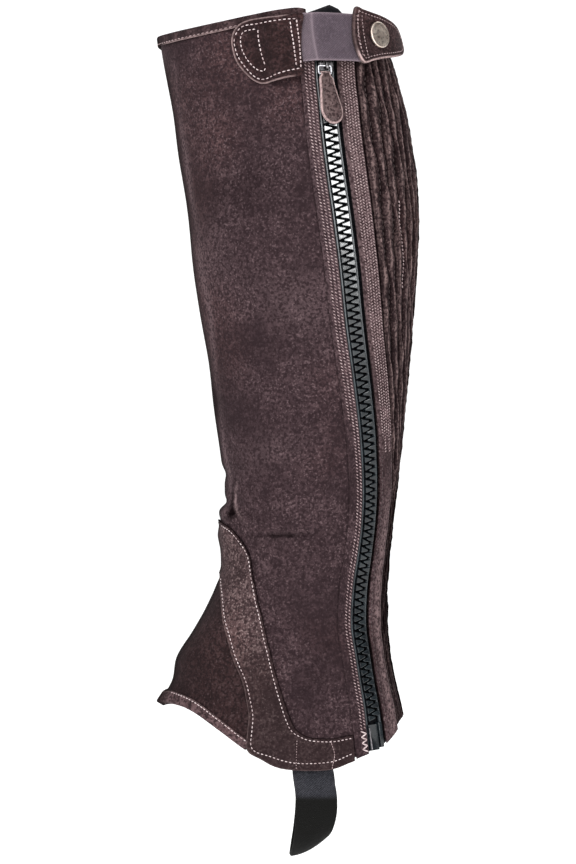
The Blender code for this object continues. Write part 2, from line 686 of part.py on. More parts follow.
def make_bindings(suede_edge):
    """Folded edges: round the top from one side of the zip to the other, and over the toe hem."""
    low, high = TOP_AT_ZIP - BINDING_DROP - 1.0, TOP_AT_ZIP
    start = float(walk(zip_turn(low), low, TAPE_EDGES[0] - EDGE_CLEAR))
    end = float(walk(zip_turn(high), high, TAPE_EDGES[1] + EDGE_CLEAR)) - 360.0
    turns = np.linspace(start, end, TOP_BINDING_POINTS)
    sections = [binding_section(turn, float(top_height(turn)), 1) for turn in turns]
    swept("top_binding", sections, suede_edge)
    turns = np.linspace(-VAMP_BINDING_TURN, VAMP_BINDING_TURN, VAMP_BINDING_POINTS)
    sections = [binding_section(turn, float(hem_height(turn)), -1) for turn in turns]
    swept("vamp_binding", sections, suede_edge)


def make_ankle_strip(suede):
    """Inverted V from hem to hem over the shin, turned back along the hem on both sides."""
    rows = np.array(ANKLE_STRIP, float)
    back = np.vstack([rows[:0:-1, :2] * (-1, 1), rows[:, :2]])
    front = np.vstack([rows[:0:-1, 2:] * (-1, 1), rows[:, 2:]])
    key = np.arange(len(back))
    fine = np.linspace(0, len(back) - 1, STRIP_POINTS)
    back = np.stack([np.interp(fine, key, back[:, k]) for k in (0, 1)], -1)
    front = np.stack([np.interp(fine, key, front[:, k]) for k in (0, 1)], -1)
    across = np.linspace(0, 1, 4)[:, None, None]
    overlay_wall("ankle_strip", front + (back - front) * across, STRIP_CLEAR, suede)


def zip_side_strip(name, edges, material):
    """Long narrow leather piece beside the zip, between two distances from its centre line."""
    first, last = (zip_side_row(edge, 0.0, BINDING_DROP + GAP, ZIP_ROWS) for edge in edges)
    across = np.linspace(0, 1, 3)[None, :, None]
    places = first[:, None] + (last - first)[:, None] * across
    overlay_wall(name, places, GAP, material)


def bevelled_profile(edges, low, top, bevel):
    """Profile over the zip, from one edge to the other, with its two upper corners cut off."""
    across, down = bevel
    return [
        (edges[0], low), (edges[0], top - down), (edges[0] + across, top),
        (edges[1] - across, top), (edges[1], top - down), (edges[1], low),
    ]


def make_zip(suede_strip, suede_band, tape_cloth, teeth_plastic):
    """Leather strips on both sides, the tape behind them, the closed chain, and the end box."""
    zip_side_strip("zip_strip_front", FRONT_STRIP_EDGES, suede_strip)
    zip_side_strip("zip_strip_back", BACK_BAND_EDGES, suede_band)

    low, high = np.array(TAPE_ENDS, float).T
    heights = low + (high - low) * np.linspace(0, 1, ZIP_ROWS)[:, None]
    distances = np.linspace(TAPE_EDGES[0], TAPE_EDGES[1], len(TAPE_ENDS))
    columns = [
        line(walk(zip_turn(heights[:, k]), heights[:, k], distance), heights[:, k])
        for k, distance in enumerate(distances)
    ]
    tape, tape_face = np.stack(columns, 1), -LEATHER - GAP
    wall("zip_tape", skin(tape, tape_face), skin(tape, tape_face - TAPE_THICKNESS), tape_cloth)

    low_out = tape_face + 0.9 * GAP
    box_low = float(hem_height(zip_turn(-400.0)))
    box_top = box_low + ZIP_BOX_HEIGHT
    chain_edges = (-CHAIN_HALF_WIDTH, CHAIN_HALF_WIDTH)
    chain = bevelled_profile(chain_edges, low_out, CHAIN_RISE, CHAIN_BEVEL)
    chain_sections = zip_sections(chain, box_top + GAP, CHAIN_TOP_HEIGHT, ZIP_ROWS)
    swept("zip_chain", chain_sections, teeth_plastic)
    box = bevelled_profile(ZIP_BOX_EDGES, low_out, ZIP_BOX_RISE, (ZIP_BOX_BEVEL, ZIP_BOX_BEVEL))
    swept("zip_box", zip_sections(box, box_low, box_top, 4), teeth_plastic)


def zip_sections(profile, low, high, count):
    """Sections along the zip of a profile of (distance from the zip line, out) points."""
    sections = []
    for height in np.linspace(low, high, count):
        turns = np.array([float(walk(zip_turn(height), height, at)) for at, _ in profile])
        sections.append(skin(line(turns, height), np.array([out for _, out in profile])))
    return sections


def elastic_out(places):
    """Height over the leg of the elastic, which rises from the binding to clear the zip."""
    low = BINDING_CLEAR + OVERLAY + GAP
    rise_start = ELASTIC_RISE_TURN + ELASTIC_RISE_LEAN * places[..., 1]
    return low + (CLOSURE_OUT - low) * ease((places[..., 0] - rise_start) / ELASTIC_RISE_LENGTH)


def base_out(places):
    """Height over the leg of the closure's base: over the binding, then over the elastic."""
    turn, height = places[..., 0], places[..., 1]
    from_edge = height - top_height(turn) + BINDING_DROP
    low = GAP + (OVERLAY + BINDING_CLEAR) * ease((from_edge + BASE_LIFT_DROP) / BASE_LIFT_LENGTH)
    high = BINDING_CLEAR + OVERLAY + ELASTIC_THICKNESS + 2 * GAP
    start, end = BASE_LIFT_TURNS
    return low + (high - low) * ease((turn - start) / (end - start))


def make_closure(suede, elastic_cloth, metal):
    """Strap over the top of the zip: sewn base, elastic, and a tab held by a snap."""
    plate("closure_base", CLOSURE_BASE, BASE_THICKNESS, base_out, suede)

    rise = ELASTIC_RISE_TURN + np.linspace(*ELASTIC_RISE_ROWS, 6)
    flat = np.linspace(rise[-1], ELASTIC_TURNS[1], 6)[1:]
    turns = np.concatenate([np.linspace(ELASTIC_TURNS[0], rise[0], 3)[:-1], rise, flat])
    places = line(turns[None, :], np.linspace(*ELASTIC_HEIGHTS, 4)[:, None])
    outs = elastic_out(places)
    wall("closure_elastic", skin(places, outs + ELASTIC_THICKNESS), skin(places, outs), elastic_cloth)

    tab_low = CLOSURE_OUT + ELASTIC_THICKNESS + GAP
    plate("snap_tab", SNAP_TAB, SNAP_TAB_THICKNESS, lambda at: tab_low + 0 * at[..., 0], suede)

    cap_seat = seat(SNAP_TURN, SNAP_HEIGHT, tab_low + SNAP_TAB_THICKNESS + GAP)
    turned("snap_cap", [(row.radius, row.rise) for row in SNAP_CAP], metal, cap_seat)
    head_top = tab_low - 2 * GAP - RIB_CREST
    head_low = head_top - STUD_HEAD_HEIGHT
    stud = [
        (0.0, 0.0), (STUD_RADIUS, 0.0), (STUD_RADIUS, head_low - STUD_HEAD_SLOPE),
        (STUD_HEAD_RADIUS, head_low), (STUD_HEAD_RADIUS, head_top), (0.0, head_top),
    ]
    turned("snap_stud", stud, metal, seat(SNAP_TURN, SNAP_HEIGHT, RIB_CREST + GAP), 16)


def make_slider(metal):
    """Channel that rides on the zip chain, with a crown for the pull's bail."""
    matrix = zip_seat(SLIDER_HEIGHT, 0.0)
    wide, inside = SLIDER_HALF_WIDTH, CHAIN_HALF_WIDTH + SLIDER_CLEAR
    roof = CHAIN_RISE + SLIDER_CLEAR
    outside = bevelled_profile((-wide, wide), SLIDER_LIP, SLIDER_TOP, (SLIDER_BEVEL, SLIDER_BEVEL))
    channel = outside + [(inside, SLIDER_LIP), (inside, roof), (-inside, roof), (-inside, SLIDER_LIP)]
    low_end, high_end = SLIDER_ENDS
    bm = bmesh.new()
    extruded(bm, channel, (0, high_end - low_end, 0), lambda a, b: (a, low_end, b))
    slider = add_object("slider", bm, metal, matrix)

    foot, opening = SLIDER_TOP - CROWN_BEVEL, CROWN_HALF_OPENING
    arch = bevelled_profile(
        (-CROWN_HALF_LENGTH, CROWN_HALF_LENGTH), foot, CROWN_TOP, (CROWN_BEVEL, CROWN_BEVEL))
    arch += [(opening, foot), (opening, CROWN_ROOF), (-opening, CROWN_ROOF), (-opening, foot)]
    bm = bmesh.new()
    extruded(bm, arch, (2 * CROWN_HALF_WIDTH, 0, 0), lambda a, b: (-CROWN_HALF_WIDTH, a, b))
    crown = add_object("slider_crown_form", bm, metal, matrix)
    boolean_with(slider, crown, "UNION")


def boolean_with(item, form, operation):
    """Join a form to a solid, or cut it out, and hide the form."""
    form.hide_render = True
    form.display_type = "WIRE"
    modifier = item.modifiers.new(form.name, "BOOLEAN")
    modifier.operation = operation
    modifier.object = form


def make_pull_bail(metal, matrix):
    """Wire ring through the slider's crown, its upper bar on the pull's axis."""
    corners = (
        (BAIL_HALF_WIDTH, 0.0, 90), (BAIL_HALF_WIDTH, -BAIL_DROP, 0),
        (-BAIL_HALF_WIDTH, -BAIL_DROP, -90), (-BAIL_HALF_WIDTH, 0.0, -180),
    )
    route = []
    for x, y, start in corners:
        centre_x = x - math.copysign(BAIL_CORNER, x)
        centre_y = y - BAIL_CORNER if y == 0.0 else y + BAIL_CORNER
        for angle in np.radians((start, start - 45, start - 90)):
            route.append((centre_x + BAIL_CORNER * math.cos(angle),
                          centre_y + BAIL_CORNER * math.sin(angle)))
    curve = bpy.data.curves.new("pull_bail", "CURVE")
    curve.dimensions = "3D"
    curve.bevel_depth = BAIL_WIRE_RADIUS * MM
    curve.bevel_resolution = 1
    spline = curve.splines.new("POLY")
    spline.points.add(len(route) - 1)
    for point, (x, y) in zip(spline.points, route):
        point.co = (x * MM, y * MM, 0.0, 1.0)
    spline.use_cyclic_u = True
    curve.materials.append(metal)
    bail = bpy.data.objects.new("pull_bail", curve)
    bpy.context.scene.collection.objects.link(bail)
    bail.matrix_world = matrix


def make_pull(metal, suede):
    """Bail, and the leather tab folded round its lower bar."""
    matrix = zip_seat(SLIDER_HEIGHT, PULL_AXIS_OUT)
    make_pull_bail(metal, matrix)
    half = [(row.half_width, row.down) for row in PULL_TAB]
    lean, first = math.tan(PULL_LEAN), PULL_TAB[0].down
    outline = half + [(-x, down) for x, down in reversed(half)]
    outline = [(x + lean * (down - first), -down) for x, down in outline]
    bm = bmesh.new()
    extruded(bm, outline, (0, 0, PULL_THICKNESS), lambda a, b: (a, b, -PULL_THICKNESS / 2))
    tab = add_object("pull_tab", bm, suede, matrix)
    bm = bmesh.new()
    bmesh.ops.create_cone(
        bm, cap_ends=True, segments=12, radius1=TUNNEL_RADIUS * MM, radius2=TUNNEL_RADIUS * MM,
        depth=4 * BAIL_HALF_WIDTH * MM,
        matrix=Matrix.Translation((0, -BAIL_DROP * MM, 0)) @ Matrix.Rotation(math.pi / 2, 4, "Y"),
    )
    boolean_with(tab, add_object("pull_tunnel_form", bm, suede, matrix), "DIFFERENCE")


def make_understrap(strap_cloth):
    """Elastic loop under the boot, from inside the outer hem to inside the inner one."""
    table = np.array(STRAP, float)
    slopes = np.gradient(table, axis=0)
    fine = np.linspace(0, len(STRAP) - 1, STRAP_POINTS)
    low = np.clip(fine.astype(int), 0, len(STRAP) - 2)
    t = (fine - low)[:, None]
    path = (
        (1 + 2 * t) * (1 - t) ** 2 * table[low] + t * (1 - t) ** 2 * slopes[low]
        + t * t * (3 - 2 * t) * table[low + 1] + t * t * (t - 1) * slopes[low + 1]
    )
    side, height, forward, tilt = path.T
    centre = np.stack([forward, side, height], -1)
    across = np.stack([np.cos(np.radians(tilt)), 0 * tilt, np.sin(np.radians(tilt))], -1)
    normal = np.cross(across, np.gradient(centre, axis=0))
    normal /= np.linalg.norm(normal, axis=1, keepdims=True)
    offsets = np.linspace(-0.5, 0.5, 4) * STRAP_WIDTH
    outer = centre[:, None] + across[:, None] * offsets[None, :, None]
    inner = outer + normal[:, None] * STRAP_THICKNESS

    wall_height = outer[..., 2]
    widest = smooth(LEG, "height", "widest", wall_height)
    back = smooth(LEG, "height", "back", wall_height)
    front = smooth(LEG, "height", "front", wall_height)
    reach = np.where(outer[..., 0] < widest, widest - front, back - widest)
    turn = np.degrees(np.arccos((widest - outer[..., 0]) / reach))
    places = line(np.where(outer[..., 1] < 0, turn, -turn), wall_height)
    inside = -LEATHER - GAP
    sewn = ease((wall_height - STRAP_FREE_HEIGHT) / STRAP_BLEND)[..., None]
    outer = sewn * skin(places, inside) + (1 - sewn) * outer
    inner = sewn * skin(places, inside - STRAP_THICKNESS) + (1 - sewn) * inner
    wall("understrap", outer, inner, strap_cloth)


def main():
    """Remove what the scene holds, then build every piece."""
    for item in list(bpy.data.objects):
        bpy.data.objects.remove(item, do_unlink=True)
    suede = finish("Suede", (0.068, 0.045, 0.043), 0.95)
    suede_light = finish("SuedeTrim", (0.125, 0.085, 0.078), 0.92)
    suede_band = finish("SuedeBand", (0.19, 0.13, 0.12), 0.9)
    suede_edge = finish("SuedeEdge", (0.055, 0.036, 0.036), 0.9)
    elastic_cloth = finish("ElasticCloth", (0.11, 0.085, 0.1), 0.85)
    strap_cloth = finish("StrapCloth", (0.025, 0.025, 0.03), 0.85)
    tape_cloth = finish("TapeCloth", (0.012, 0.012, 0.014), 0.85)
    teeth_plastic = finish("ZipTeeth", (0.02, 0.03, 0.034), 0.25)
    metal = finish("SnapMetal", (0.42, 0.38, 0.32), 0.35, 1.0)
    slider_metal = finish("SliderMetal", (0.25, 0.24, 0.23), 0.3, 1.0)
    make_leg_panels(suede)
    make_stretch_panel(suede)
    make_vamp(suede)
    make_bindings(suede_edge)
    make_ankle_strip(suede_light)
    make_zip(suede_light, suede_band, tape_cloth, teeth_plastic)
    make_closure(suede, elastic_cloth, metal)
    make_slider(slider_metal)
    make_pull(slider_metal, suede_light)
    make_understrap(strap_cloth)


main()
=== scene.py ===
"""Looks of a suede half chap: leather, stitching, zip, snap strap and boot strap.

The leg of the chap is a smooth form with creases. A place on it is a turn, in degrees round the leg
from the shin over the outer side, and a height in millimetres. Every leather piece is a closed thin
shell over places on that form. Sizes are millimetres until a mesh is made.
"""

import logging
import math
from dataclasses import dataclass
from enum import Enum
from typing import Callable, NamedTuple, Sequence

import bmesh
import bpy
import numpy as np
from mathutils import Matrix, Vector


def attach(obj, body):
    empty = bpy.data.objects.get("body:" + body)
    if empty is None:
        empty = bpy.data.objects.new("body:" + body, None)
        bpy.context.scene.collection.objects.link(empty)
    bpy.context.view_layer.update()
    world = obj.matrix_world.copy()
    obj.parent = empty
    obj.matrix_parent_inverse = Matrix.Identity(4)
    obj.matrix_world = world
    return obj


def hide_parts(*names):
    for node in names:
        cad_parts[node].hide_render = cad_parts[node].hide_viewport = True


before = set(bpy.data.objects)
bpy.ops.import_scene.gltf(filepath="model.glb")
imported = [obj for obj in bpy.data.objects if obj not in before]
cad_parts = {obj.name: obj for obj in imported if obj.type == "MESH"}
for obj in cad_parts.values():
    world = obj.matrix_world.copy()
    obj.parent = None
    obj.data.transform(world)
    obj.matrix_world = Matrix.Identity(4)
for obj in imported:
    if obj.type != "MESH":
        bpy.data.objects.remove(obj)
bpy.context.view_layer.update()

log = logging.getLogger("half_chap")

MM = 0.001
GAP = 0.35
RIM_ROUNDING = 0.24
ROOT = "root"
PULL = "pull"
Array = np.ndarray
Piece = bpy.types.Object
Socket = bpy.types.NodeSocket
Pair = tuple[float, float]
Colour = tuple[float, float, float]


class LegSection(NamedTuple):
    """Level section of the leg: front and back reach, widest place and half depth."""

    height: float
    front: float
    back: float
    widest: float
    half_depth: float


class EdgeHeight(NamedTuple):
    """Height of an edge or seam at a turn."""

    turn: float
    height: float


class LineTurn(NamedTuple):
    """Turn of a line that runs up the leg, at a height."""

    height: float
    turn: float


class StripStation(NamedTuple):
    """Place on the back edge and on the front edge of the ankle strip."""

    back_turn: float
    back_height: float
    front_turn: float
    front_height: float


class Fold(NamedTuple):
    """Soft crease or bulge: its middle, its reach round the leg, its spread, slope and rise."""

    turn: float
    height: float
    reach: float
    spread: float
    slope: float
    rise: float


class StrapStation(NamedTuple):
    """Station of the boot strap's centre line."""

    side: float
    height: float
    forward: float
    tilt: float


class SewnRow(NamedTuple):
    """Row of stitches through some corners, with its pitch, in thin or in bold thread."""

    corners: list[Pair]
    pitch: float
    bold: bool


LEG = [LegSection(*row) for row in (
    (-425, -92.0, 80.0, 11, 45.5), (-400, -82.0, 75.0, 11, 45.0), (-377, -70.2, 69.6, 12, 44.2),
    (-364, -62.3, 66.2, 12, 43.6), (-350, -59.4, 63.2, 13, 42.9), (-335, -50.3, 61.4, 13, 42.2),
    (-320, -41.8, 61.0, 14, 41.6), (-306, -35.8, 61.2, 15, 41.3), (-294, -34.0, 62.1, 16, 41.3),
    (-272, -35.6, 64.3, 17, 41.7), (-258, -32.2, 66.0, 18, 42.3), (-240, -33.5, 68.1, 19, 43.5),
    (-210, -37.6, 71.1, 20, 46.0), (-180, -41.4, 73.9, 20, 48.5), (-150, -46.5, 76.4, 19, 51.0),
    (-120, -50.7, 78.6, 18, 53.0), (-90, -53.8, 78.9, 16, 54.0), (-65, -58.0, 76.6, 13, 54.0),
    (-40, -61.3, 72.5, 8, 53.0), (-20, -64.8, 67.2, 3, 51.5), (0, -68.5, 61.5, 0, 50.0),
    (25, -71.5, 58.0, 0, 49.0),
)]
TOP_EDGE = [EdgeHeight(*row) for row in (
    (0, 6.0), (27, 5.8), (41, 6.7), (61, 9.3), (77, 12.6), (92, 15.8), (101, 16.6), (108, 15.0),
    (130, 12.5), (150, 9.5), (180, 7.0),
)]
HEM_EDGE = [EdgeHeight(*row) for row in (
    (0, -376.5), (25, -375.0), (45, -380.0), (60, -389.8), (73, -401.2), (80, -406.9),
    (90, -411.0), (107, -410.0), (120, -404.5), (135, -399.5), (148, -393.0), (155, -389.0),
    (165, -385.6), (180, -383.5),
)]
ZIP_LINE = [LineTurn(*row) for row in (
    (-425, 133.5), (-400, 133.2), (-366, 133.8), (-347, 132.8), (-327, 130.8), (-308, 131.5),
    (-289, 133.3), (-275, 134.4), (-263, 133.8), (-230, 128.0), (-198, 120.8), (-166, 114.4),
    (-134, 110.3), (-102, 106.9), (-75, 105.4), (-52, 106.0), (-35, 108.0), (-16, 111.0),
    (0, 114.5), (25, 120.0),
)]
STRETCH_BACK_LINE = [LineTurn(*row) for row in (
    (-425, 239.5), (-400, 239.5), (-330, 250.0), (-259, 254.0), (-175, 243.0), (-90, 239.0),
    (25, 236.0),
)]
VAMP_SEAM = [EdgeHeight(*row) for row in (
    (0, -286.5), (20, -288.5), (32, -295.5), (40.5, -303.5), (47, -314.5), (54.5, -325.5),
    (61.5, -336.5), (68.5, -351.0), (73, -364.5), (76.4, -376.0), (78, -388.0), (79, -406.0),
)]
ANKLE_STRIP = [StripStation(*row) for row in (
    (0, -271, 0, -302), (28, -274, 12, -303), (40, -280, 24, -311), (48, -288.5, 33, -319),
    (53, -301, 41, -328), (60, -314, 49, -337), (67, -326, 56, -347), (74.5, -343, 62.5, -359),
    (79, -358, 67, -371), (83, -371, 69.8, -381), (86, -381, 70.4, -389),
    (88.5, -387.5, 71.6, -399.4), (92.5, -391, 76.5, -404.2), (98, -392.5, 85.5, -410.0),
    (107, -392.7, 104, -410.4), (115, -391.5, 115, -406.9), (118.3, -391.0, 118.3, -405.7),
)]
FOLDS = [Fold(*row) for row in (
    (72, -279.5, 26, 3.5, 0.02, -1.0), (76, -271.0, 26, 6.0, 0.02, 0.8),
    (34, -262.0, 12, 4.0, -0.35, -1.3), (22, -268.0, 16, 5.0, 0.0, 0.9),
    (100, -352.0, 16, 5.0, 0.9, -0.7), (-66, -276.0, 30, 4.0, 0.05, -1.1),
    (-72, -267.0, 24, 6.0, 0.03, 0.8), (-30, -264.0, 12, 4.5, 0.3, -1.0),
    (0, -244.8, 30, 4.0, 0.0, -1.6), (0, -260.6, 26, 2.6, 0.0, -1.7),
    (0, -266.5, 24, 3.0, 0.0, 0.9), (0, -274.0, 30, 5.0, 0.0, -2.0),
    (0, -288.0, 34, 10.0, 0.0, -1.6), (0, -299.0, 32, 5.5, 0.0, -1.5),
)]
FINE_CREASES = [Fold(*row) for row in (
    (74, -279.3, 24, 0.75, 0.02, -1.0), (72, -277.6, 22, 0.75, 0.02, 0.55),
    (66, -281.4, 18, 0.9, 0.02, 0.45), (88, -277.0, 12, 1.6, 0.10, -0.30),
    (50, -268.0, 10, 1.8, -0.25, -0.35), (104, -344.0, 9, 2.2, 1.10, -0.35),
    (96, -362.0, 10, 2.6, 0.80, -0.30), (62, -232.0, 24, 9.0, 0.15, 0.45),
    (86, -150.0, 26, 16.0, -0.25, 0.55), (58, -84.0, 22, 13.0, 0.30, -0.40),
    (80, -48.0, 16, 3.0, 0.55, -0.22), (30, -120.0, 14, 20.0, 0.10, 0.50),
    (18, -205.0, 10, 12.0, 0.20, -0.45), (-60, -282.0, 18, 1.5, -0.05, -0.50),
    (-84, -270.0, 14, 2.0, 0.12, -0.35), (-70, -190.0, 26, 15.0, 0.20, 0.55),
    (-50, -100.0, 24, 18.0, -0.25, -0.45), (-98, -340.0, 14, 4.0, -0.70, -0.50),
    (-20, -320.0, 12, 5.0, 0.20, -0.40), (26, -342.0, 14, 5.0, -0.20, -0.45),
)]
HALF_STRAP = [StrapStation(*row) for row in (
    (0.0, -458.4, 16.2, 30.0), (17.5, -456.0, 17.2, 26.0), (31.5, -448.5, 19.2, 18.0),
    (39.5, -437.0, 20.6, 9.0), (42.3, -424.0, 20.4, 3.0), (41.9, -412.5, 18.8, 0.0),
    (42.0, -403.0, 18.6, 0.0), (41.6, -395.0, 18.6, 0.0),
)]
STRAP = [row._replace(side=-row.side) for row in HALF_STRAP[:0:-1]] + HALF_STRAP
CLOSURE_BASE = [
    (102.0, 12.6), (95.7, 12.3), (88.0, 11.1), (80.5, 10.3), (75.6, 9.2), (71.4, 6.9), (68.5, 2.6),
    (67.0, -3.5), (66.9, -9.0), (68.2, -15.0), (71.6, -21.2), (74.6, -24.8), (78.0, -26.5),
    (82.5, -25.8), (90.0, -23.8), (98.3, -21.2), (99.6, -9.0), (101.2, 4.0),
]
CLOSURE_SEWING = [
    SewnRow([(69.4, 0.4), (71.4, 4.0), (74.5, 6.2), (80.2, 7.0), (88.0, 8.4), (93.3, 9.3),
             (98.6, 9.6)], 2.7, False),
    SewnRow([(98.6, 9.6), (99.2, -2.7), (98.2, -14.6), (97.6, -18.5)], 2.3, True),
    SewnRow([(95.4, 8.4), (96.2, -2.7), (96.0, -13.2), (95.7, -17.5)], 2.3, True),
    SewnRow([(97.6, -18.5), (94.6, -19.1), (90.3, -20.1), (86.2, -21.5), (82.4, -23.1),
             (78.6, -24.0), (75.9, -22.9), (73.0, -19.1), (69.8, -12.7), (68.6, -7.7),
             (68.5, -3.4), (69.4, 0.4)], 2.7, False),
    SewnRow([(80.4, 4.2), (80.2, -2.6), (80.6, -10.1), (81.6, -17.4)], 2.6, True),
    SewnRow([(81.6, -17.4), (80.1, -19.3), (77.6, -18.7), (75.4, -16.4), (73.0, -11.8),
             (71.6, -6.5), (71.7, -2.4), (72.6, 1.1), (74.2, 3.0), (77.7, 3.8),
             (80.4, 4.2)], 2.4, False),
]
SNAP_TAB = [
    (129.3, 17.0), (134.2, 16.1), (139.5, 14.9), (145.4, 13.8), (152.3, 12.4), (160.5, 10.4),
    (167.5, 7.2), (172.2, 2.0), (171.8, -3.9), (165.6, -8.0), (155.9, -10.2), (142.9, -12.3),
    (135.5, -14.0), (129.1, -15.6), (126.8, -10.0), (126.2, -2.0), (127.2, 8.0),
]
PULL_TAB = [
    (3.4, 2.7), (5.4, 2.8), (7.4, 4.0), (11.0, 4.3), (16.2, 5.0), (22.4, 6.0), (26.6, 6.1),
    (30.2, 4.9), (32.4, 2.2),
]


class Layer(Enum):
    """Height in millimetres of a surface over the leather's outer face."""

    PANEL_INSIDE = -2.0
    ZIP_STRIP = GAP
    ANKLE_STRIP = 0.65
    BINDING = 0.7


def ease(share: Array) -> Array:
    """Smooth step from 0 to 1 as a share goes from 0 to 1."""
    share = np.clip(share, 0.0, 1.0)
    return share * share * (3 - 2 * share)


def wave(at: Array, length: float, phase: float) -> Array:
    """Sine wave of a length along a coordinate."""
    return np.sin(2 * np.pi * (np.asarray(at, float) / length + phase))


def bell(distance: Array, spread: float) -> Array:
    """Bell curve: 1 at no distance, and falling to 0 over a few spreads."""
    return np.exp(-(distance / spread) ** 2)


def close_to(distance: Array, half: float, fade: float) -> Array:
    """Share that is 1 where a distance is under a half width, and falls to 0 over a fade."""
    return 1 - ease((np.abs(distance) - half) / fade)


def hermite(low: Array, low_slope: Array, high: Array, high_slope: Array, t: Array) -> Array:
    """Cubic between two values with the given slopes, at a share of the way."""
    return ((1 + 2 * t) * (1 - t) ** 2 * low + t * (1 - t) ** 2 * low_slope
            + t * t * (3 - 2 * t) * high + t * t * (t - 1) * high_slope)


class Curve:
    """Smooth curve through one column of a table."""

    def __init__(self, rows: Sequence[NamedTuple], key: str, column: str) -> None:
        """Read the two columns.

        Args:
            rows: the table.
            key: name of the column that rises from row to row.
            column: name of the column to read.
        """
        self.xs = np.array([getattr(row, key) for row in rows], float)
        self.ys = np.array([getattr(row, column) for row in rows], float)
        self.slopes = np.gradient(self.ys, self.xs)

    def __call__(self, at: Array) -> Array:
        """Value at places along the key column."""
        at = np.clip(np.asarray(at, float), self.xs[0], self.xs[-1])
        low = np.clip(np.searchsorted(self.xs, at) - 1, 0, len(self.xs) - 2)
        span = self.xs[low + 1] - self.xs[low]
        return hermite(self.ys[low], span * self.slopes[low], self.ys[low + 1],
                       span * self.slopes[low + 1], (at - self.xs[low]) / span)


def line(turn: Array, height: Array) -> Array:
    """Join turns and heights into places."""
    turn, height = np.broadcast_arrays(np.asarray(turn, float), np.asarray(height, float))
    return np.stack([turn, height], -1)


def shares(row: Array) -> Array:
    """How far along its row each place lies, from 0 to 1."""
    steps = np.diff(row, axis=0) * (0.95, 1.0)
    length = np.concatenate([[0.0], np.cumsum(np.linalg.norm(steps, axis=1))])
    return length / length[-1]


def resample(row: Array, fractions: Array) -> Array:
    """Places at fractions of a row's length."""
    length = shares(row)
    columns = [np.interp(fractions, length, row[:, k]) for k in range(row.shape[1])]
    return np.stack(columns, -1)


def threaded(row: Array, count: int) -> Array:
    """Smooth row through each entry of a row, an equal number of steps apart."""
    slopes = np.gradient(row, axis=0)
    fine = np.linspace(0, len(row) - 1, count)
    low = np.clip(fine.astype(int), 0, len(row) - 2)
    return hermite(row[low], slopes[low], row[low + 1], slopes[low + 1], (fine - low)[:, None])


def rounded(row: Array, count: int) -> Array:
    """Smooth row through a few places, an equal distance apart."""
    return resample(threaded(row, 12 * len(row)), np.linspace(0, 1, count))


def frame_matrix(origin: Array, *axes: Vector) -> Matrix:
    """Matrix, in mm, of a fitting from its origin and its three axes."""
    return Matrix.Translation(Vector(origin)) @ Matrix(axes).transposed().to_4x4()


def patch(first: Array, second: Array, start: Array, end: Array, hold: int = 1) -> Array:
    """Grid of places that fills four edge rows.

    Args:
        first: lowest row, kept point by point.
        second: highest row.
        start: row on one side, kept point by point.
        end: row on the other side.
        hold: how near to their own sides the bends of start and end stay.

    Returns:
        Places by row and column.
    """
    u, v = shares(first), shares(start)
    low, high = first[None], resample(second, u)[None]
    left, right = start[:, None], resample(end, v)[:, None]
    u, v = u[None, :, None], v[:, None, None]
    left_bend = left - (1 - v) * low[:, :1] - v * high[:, :1]
    right_bend = right - (1 - v) * low[:, -1:] - v * high[:, -1:]
    return (1 - v) * low + v * high + (1 - u) ** hold * left_bend + u ** hold * right_bend


